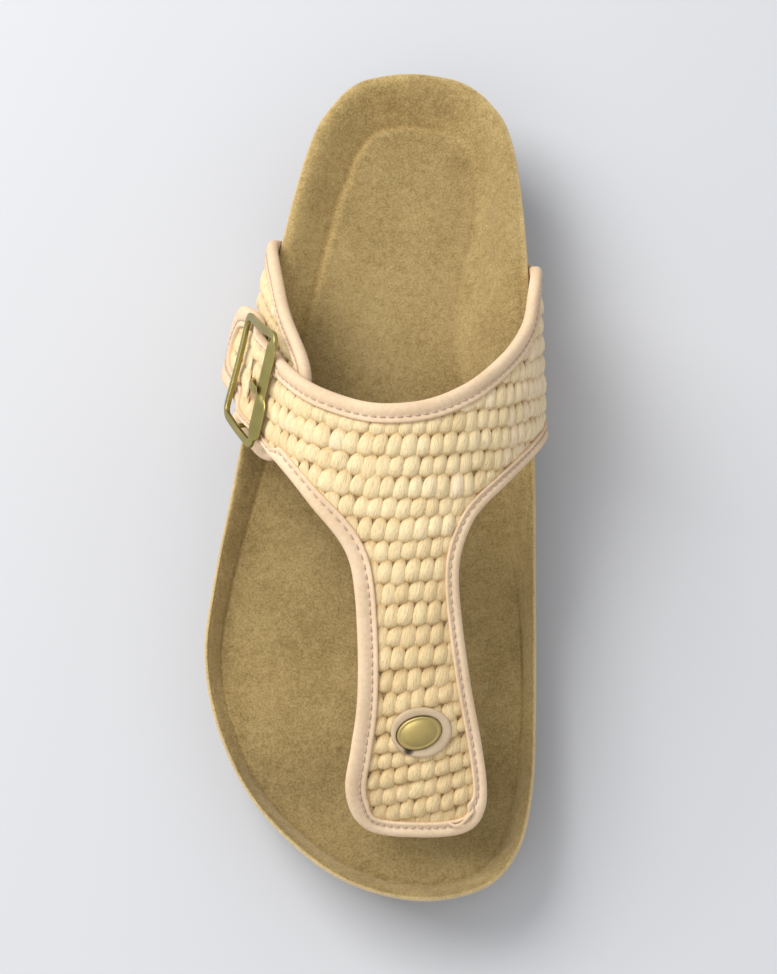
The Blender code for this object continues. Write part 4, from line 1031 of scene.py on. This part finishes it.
    def tape(self):
        """Folded tape round the edge, drawn down a little at each stitch."""
        pull = 0.5 + 0.5 * np.cos(2 * math.pi * self.run / STITCH_PITCH)
        insets, heights = np.array(TAPE).T
        drawn = STITCH_PULL * np.exp(-((insets - STITCH_INSET) / PULL_WIDE) ** 2) * (heights > 1)
        rings = []
        for k, ((s, p), n) in enumerate(zip(self.path, self.inward)):
            s, p = s + n[0] * insets * self.share[k], p + n[1] * insets * self.share[k]
            if k in (0, len(self.path) - 1):
                p = self.end(s)
            rings.append(on_last(s, p, self.lift(s, p) + heights - drawn * pull[k]))
        return make_piece(self.names + "_tape", skin(rings), TAPE_FINISH)

    def stitches(self):
        """Stitches along the tape, a thread's length each with a gap at every needle hole."""
        at = np.arange(STITCH_PITCH / 2, self.run[-1] - 1, STITCH_PITCH)
        line = self.path + self.inward * (STITCH_INSET * self.share)[:, None]
        s, p = points_at(at, self.run, line).T
        step_s, step_p = points_at(at + 0.5, self.run, line).T - (s, p)
        size = np.tile([STITCH_THICK, STITCH_LONG, STITCH_THICK], (len(at), 1))
        turn = np.arctan2(-step_p, -step_s)
        cloud = pattern_points(self.names + "_points", s, p, 0 * s, turn, 0 * s + 0.5, size)
        mesh, s, p, height = STITCHES.strands(cloud, {"Lean": STITCH_LEAN, "Crown": 1.0, "Finish": THREAD})
        return drape(self.names + "_stitches", mesh, s, p, self.lift(s, p) + STITCH_HEIGHT + height)


def woven_strap(strap, nodes, seed):
    """Make a strap's lining, strands, bound edge and stitches."""
    wall = strap.lining()
    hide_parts(nodes)
    strap.weave(seed)
    tape = strap.tape()
    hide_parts(nodes + "_binding")
    strap.stitches()


# the prong's hole in the tab: its middle and its halves along and across
PRONG_S, HOLE_HALF = 132.0, (1.4, 3.2)
PRONG_HOLE = ((PRONG_S, bar_line(PRONG_S) + HOLE_HALF[1]), HOLE_HALF)
woven_strap(Strap("outer_strap", OUTER_STRAP_EDGE, -1, outer_lift), "strap_lateral", 11)
woven_strap(Strap("t_strap", T_EDGE, 1, t_lift, [PRONG_HOLE]), "strap_upper", 7)


# Buckle: a cast frame, plated a dull gold, with a wide flat nose bar that is stepped at the middle for the
# prong's tip, thin rails and outer bar, and a sunk centre bar that carries the prong.
FRAME_LIFT = OVERLAP_LIFT + 3.0
FRAME_HIGH, NOSE_HIGH, NOSE_FALL = 1.5, 1.9, 1.3
CORNER_RADII, CORNER_STEPS, SIDE_STEPS = (1.6, 1.6, 3.4, 3.4), 10, 36
# reach of the frame's section towards its outer bar and its nose: plain, more on the nose bar, at the step
TO_OUTER, TO_NOSE = (1.1, 0.4, 1.5), (1.0, 0.9, -0.4)
NOSE_TAPER, STEP_AT, STEP_OVER = 0.1, 0.54, 0.06
BAR_AROUND, BAR_SQUARE = 20, 0.45
BAR_LIFT, BAR_RADIUS = 4.7, 0.7
BAR_S, BAR_TURNS_UP = np.linspace(117.0, 147.1, 41), (0.6, 1.4)


def gold_material(name, rough, light, dark):
    gold = Finish(name, rough, 1.0)
    spot = gold.coordinates()
    return gold.done({"Base Color": gold.ramp(gold.noise(spot, 160.0, 3.0), (0.35, dark), (0.65, light)),
                      "Normal": gold.bump(gold.noise(spot, 2600.0), 0.05, 0.0001)})


GOLD = gold_material("dull gold", 0.3, (0.39, 0.33, 0.115), (0.32, 0.272, 0.09))


def rounded_bar(path, left, right, low, high, wrap=False, fall=0.0):
    """Rings of a bar with rounded edges along a pattern path, its face falling to the right."""
    tangent = np.roll(path, -1, axis=0) - np.roll(path, 1, axis=0) if wrap else np.gradient(path, axis=0)
    tangent = unit(tangent)
    turn = full_turn(BAR_AROUND)
    across, upward = (np.sign(wave) * np.abs(wave) ** BAR_SQUARE for wave in (np.cos(turn), np.sin(turn)))
    left, right, low, high, fall = (np.broadcast_to(row, len(path))[:, None]
                                    for row in (left, right, low, high, fall))
    w = (right - left) / 2 + across * (right + left) / 2
    height = (low + high) / 2 + upward * (high - low) / 2 - fall * (1 + across) / 2 * np.maximum(upward, 0)
    rings = on_last(path[:, :1] - tangent[:, 1:] * w, path[:, 1:] + tangent[:, :1] * w, height)
    return np.concatenate([rings, rings[:1]]) if wrap else rings


def frame_path():
    """Round the frame: points on the strap pattern, and how far along the nose bar each one is."""
    corners = [np.array(c) for c in (NOSE_REAR, NOSE_FRONT, OUTER_FRONT, OUTER_REAR)]
    path, nose = [], []
    for k, corner in enumerate(corners):
        n = (k + 1) % len(corners)
        to_ahead = unit(corners[n] - corner)
        start = corner + unit(corners[k - 1] - corner) * CORNER_RADII[k]
        end, far = corner + to_ahead * CORNER_RADII[k], corners[n] - to_ahead * CORNER_RADII[n]
        for t in np.linspace(0, 1, CORNER_STEPS, endpoint=False):
            path.append((1 - t) ** 2 * start + 2 * t * (1 - t) * corner + t * t * end)
            nose.append(-1.0)
        for t in np.linspace(0, 1, SIDE_STEPS, endpoint=False):
            path.append(end + (far - end) * t)
            nose.append(t if k == 0 else -1.0)
    return np.array(path), np.array(nose)


round_frame, nose = frame_path()
wide = np.where(nose >= 0, ease(nose / NOSE_TAPER) * ease((1 - nose) / NOSE_TAPER), 0.0)
stepped = past(nose, STEP_AT, STEP_OVER)
to_outer, to_nose = (plain + wide * (more + step * stepped) for plain, more, step in (TO_OUTER, TO_NOSE))
frame_top = FRAME_LIFT + FRAME_HIGH + wide * (NOSE_HIGH - FRAME_HIGH)
rings = rounded_bar(round_frame, to_nose, to_outer, FRAME_LIFT, frame_top, True, NOSE_FALL * wide)
frame_piece = make_piece("buckle_gold_frame", skin(rings), GOLD)
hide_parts("buckle_frame")
from_end = np.minimum(BAR_S - BAR_S[0], BAR_S[-1] - BAR_S)
bar_high = FRAME_LIFT + FRAME_HIGH / 2
bar_height = BAR_LIFT + (bar_high - BAR_LIFT) * (1 - past(from_end, *BAR_TURNS_UP))
rings = rounded_bar(np.stack([BAR_S, bar_line(BAR_S)], axis=1), BAR_RADIUS, BAR_RADIUS,
                    bar_height - BAR_RADIUS, bar_height + BAR_RADIUS)
bar = make_piece("buckle_centre_bar", skin(rings), GOLD)

PRONG_HALF, PRONG_RINGS = 0.95, 5
EYE_RADIUS, EYE_BORE, EYE_POINTS = 1.5, 1.05, 18
EYE_FROM, EYE_TO = math.radians(60), math.radians(330)
# rows of distance across from the centre bar and height over the last, out under the prong and back over it
PRONG_SHAPE = ((2.2, 6.1), (4.4, 8.0), (6.3, 9.6), (8.6, 10.1), (10.2, 10.15), (10.4, 10.45), (10.2, 10.8),
               (8.4, 10.9), (6.3, 10.5), (4.3, 9.1), (2.4, 7.2))
eye = np.linspace(EYE_FROM, EYE_TO, EYE_POINTS)
outline = [(radius * math.cos(a), BAR_LIFT + radius * math.sin(a))
           for radius, turns in ((EYE_RADIUS, eye), (EYE_BORE, eye[::-1])) for a in turns]
across, height = np.array([*outline, *PRONG_SHAPE]).T
rings = [on_last(PRONG_S + w, bar_line(PRONG_S) + across, height)
         for w in np.linspace(-PRONG_HALF, PRONG_HALF, PRONG_RINGS)]
prong = make_piece("buckle_gold_prong", skin(rings), GOLD, sharp=35)
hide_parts("buckle_prong")


# Stud: a ring of tape round the rivet hole, with a notch in one place whose pit is painted dark as shade,
# and the rivet's oval brass cap, a shallow dome with a rolled rim, pressed down on the ring a little askew.
AROUND_STUD = 72
WASHER_AXES, WASHER_TURN, WASHER_OFF = (7.9, 6.2), 0.1, -0.1
CAP_AXES, CAP_TURN, CAP_OFF = (5.8, 3.9), math.radians(17), -0.7
WASHER_LIFT = STRAP_LIFT + 1.9 + GAP
CAP_LIFT = WASHER_LIFT + 0.7
# rows of inset from the ring's outside and height over its seat, then of share of the cap's axes and height
WASHER_SHAPE = ((0.4, -0.6), (0.0, 0.1), (0.2, 0.55), (0.5, 0.8), (0.8, 0.9))
WASHER_HOLE = ((1.07, 0.85), (1.04, 0.6), (1.02, 0.2), (1.0, -0.15), (0.9, -0.2), (0.3, -0.2), (0.3, -0.6))
# where the ring dips in a notch, how wide and how deep; its pit is painted near black as shade
STUD_NOTCH, STUD_NOTCH_WIDE, STUD_NOTCH_DEEP = (211.3, -1.0), 1.25, 0.9
# rows of share of the cap's half axes and height over its seat
CAP_SHAPE = ((0.3, -3.0), (0.3, 0.0), (0.93, 0.0), (0.99, 0.12), (1.0, 0.4), (0.97, 0.68), (0.92, 0.8),
             (0.86, 0.76), (0.83, 0.7), (0.78, 0.82), (0.66, 1.1), (0.5, 1.32), (0.33, 1.45), (0.16, 1.52),
             (0.0, 1.54))


def stud_ring(wide, high, lift, turn, off):
    u, v = wide * np.cos(full_turn(AROUND_STUD)), high * np.sin(full_turn(AROUND_STUD))
    return on_last(STUD[0] - u * math.sin(turn) + v * math.cos(turn),
                   STUD[1] + off + u * math.cos(turn) + v * math.sin(turn), np.full(AROUND_STUD, lift))


def cap_rings(rows, lift):
    return [stud_ring(CAP_AXES[0] * share, CAP_AXES[1] * share, lift + rise, CAP_TURN, CAP_OFF)
            for share, rise in rows]


def ring_material():
    ring = Finish("stud ring tape", 0.7)
    spot = ring.coordinates()
    colour = ring.ramp(ring.noise(spot, 130.0, 3.0), (0.3, (0.43, 0.315, 0.19)), (0.7, (0.57, 0.435, 0.285)))
    # painted shade: near black in the notch's pit
    return ring.done({"Base Color": ring.mix(ring.attribute("notch_and_shade"), colour, (0.05, 0.03, 0.018), "MIX"),
                      "Normal": ring.bump(ring.noise(spot, 900.0, 4.0, 0.6), 0.3, 0.0004)})


wide, high = WASHER_AXES
rings = [stud_ring(wide - inset, high - inset, WASHER_LIFT + rise, WASHER_TURN, WASHER_OFF)
         for inset, rise in WASHER_SHAPE]
hole = cap_rings(WASHER_HOLE, WASHER_LIFT)
between = [rings[-1] * (1 - t) + hole[0] * t for t in (0.33, 0.66)]
rings = np.array([*rings, *between, *hole, rings[0]])
notch_spot = on_last(*STUD_NOTCH, WASHER_LIFT + WASHER_SHAPE[-1][1])
notch_and_shade = np.exp(-(np.linalg.norm(rings - notch_spot, axis=2) / STUD_NOTCH_WIDE) ** 4)
data = skin(rings - notch_and_shade[..., None] * UP * STUD_NOTCH_DEEP)
mark(data, "notch_and_shade", notch_and_shade)
washer = make_piece("stud_tape_ring", data, ring_material())
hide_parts("post_washer")

BRASS = gold_material("polished brass", 0.5, (0.47, 0.36, 0.14), (0.39, 0.3, 0.11))
cap = make_piece("stud_brass_cap", skin(cap_rings(CAP_SHAPE, CAP_LIFT)), BRASS)
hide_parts("post_cap")


# Loose thread: an end of pale thread that hangs out of the tape at the corner of the T strap's end. It lies
# in a small curl on the tape and thins out at both ends.
THREAD_PATH = np.array([(225.6, 15.2), (227.5, 13.0), (228.6, 11.6), (229.0, 10.0), (228.2, 8.4)])
THREAD_POINTS, THREAD_RADIUS, THREAD_THINS = 33, 0.32, 0.15
THREAD_LIFT, THREAD_ARCH, THREAD_SMOOTHED = 2.3, 0.5, 6
run = np.linspace(0, len(THREAD_PATH) - 1, THREAD_POINTS)
loose = points_at(run, np.arange(len(THREAD_PATH)), THREAD_PATH)
for _ in range(THREAD_SMOOTHED):
    loose[1:-1] = (loose[:-2] + 2 * loose[1:-1] + loose[2:]) / 4
low = t_lift(*loose.T) + THREAD_LIFT + THREAD_ARCH * np.sin(run / run[-1] * math.pi)
radius = THREAD_RADIUS * np.sqrt(np.clip(np.minimum(run, run[-1] - run) / THREAD_THINS, 0.05, 1))
rings = rounded_bar(loose, radius, radius, low, low + 2 * radius)
thread = make_piece("loose_thread", skin(rings), TAPE_FINISH)


# Studio: a pale floor that runs on past the view, a soft white surround, a broad lamp over the heel's outer
# side and a weaker one in front of it. The camera looks steeply down, as one looks at a shoe on a floor.
CAMERA_AIM = (3.5 + X_SHIFT, -7.73, 25.0)
CAMERA_RISE, CAMERA_AWAY, CAMERA_LENS = math.radians(70), 600.0, 76.3
FLOOR_HALF, FLOOR_DROP = 6.0, 0.0002
SURROUND, SURROUND_STRENGTH = (0.95, 0.97, 1.0, 1.0), 0.75
# rows of name, place, size and power
LAMPS = (("key lamp", (-0.72, 0.48, 0.95), 0.9, 17.0), ("front lamp", (-0.5, -0.75, 1.1), 1.0, 3.0))

floor_data = bmesh.new()
bmesh.ops.create_grid(floor_data, x_segments=1, y_segments=1, size=FLOOR_HALF)
floor_mesh = bpy.data.meshes.new("floor")
floor_data.to_mesh(floor_mesh)
floor_data.free()
floor_mesh.materials.append(Finish("floor paper", 0.9).done({"Base Color": (0.53, 0.53, 0.54, 1.0),
                                                             "Specular IOR Level": 0.1}))
floor = in_scene("floor", floor_mesh)
floor.location.z = -FLOOR_DROP

world = bpy.data.worlds.new("studio")
world.use_nodes = True
world.node_tree.nodes["Background"].inputs["Color"].default_value = SURROUND
world.node_tree.nodes["Background"].inputs["Strength"].default_value = SURROUND_STRENGTH
bpy.context.scene.world = world

for name, spot, size, power in LAMPS:
    lamp = bpy.data.lights.new(name, "AREA")
    lamp.size, lamp.energy = size, power
    lamp_object = in_scene(name, lamp)
    lamp_object.location = spot
    lamp_object.rotation_euler = (-Vector(spot)).to_track_quat("-Z", "Y").to_euler()

camera = bpy.data.cameras.new("camera")
camera.lens = CAMERA_LENS
camera.clip_start, camera.clip_end = 0.01, 50.0
camera_object = in_scene("camera", camera)
back = Vector((0, -math.cos(CAMERA_RISE), math.sin(CAMERA_RISE)))
camera_object.location = (Vector(CAMERA_AIM) + back * CAMERA_AWAY) * MM
camera_object.rotation_euler = back.to_track_quat("Z", "Y").to_euler()
bpy.context.scene.camera = camera_object
bpy.context.scene.view_settings.view_transform = "Standard"
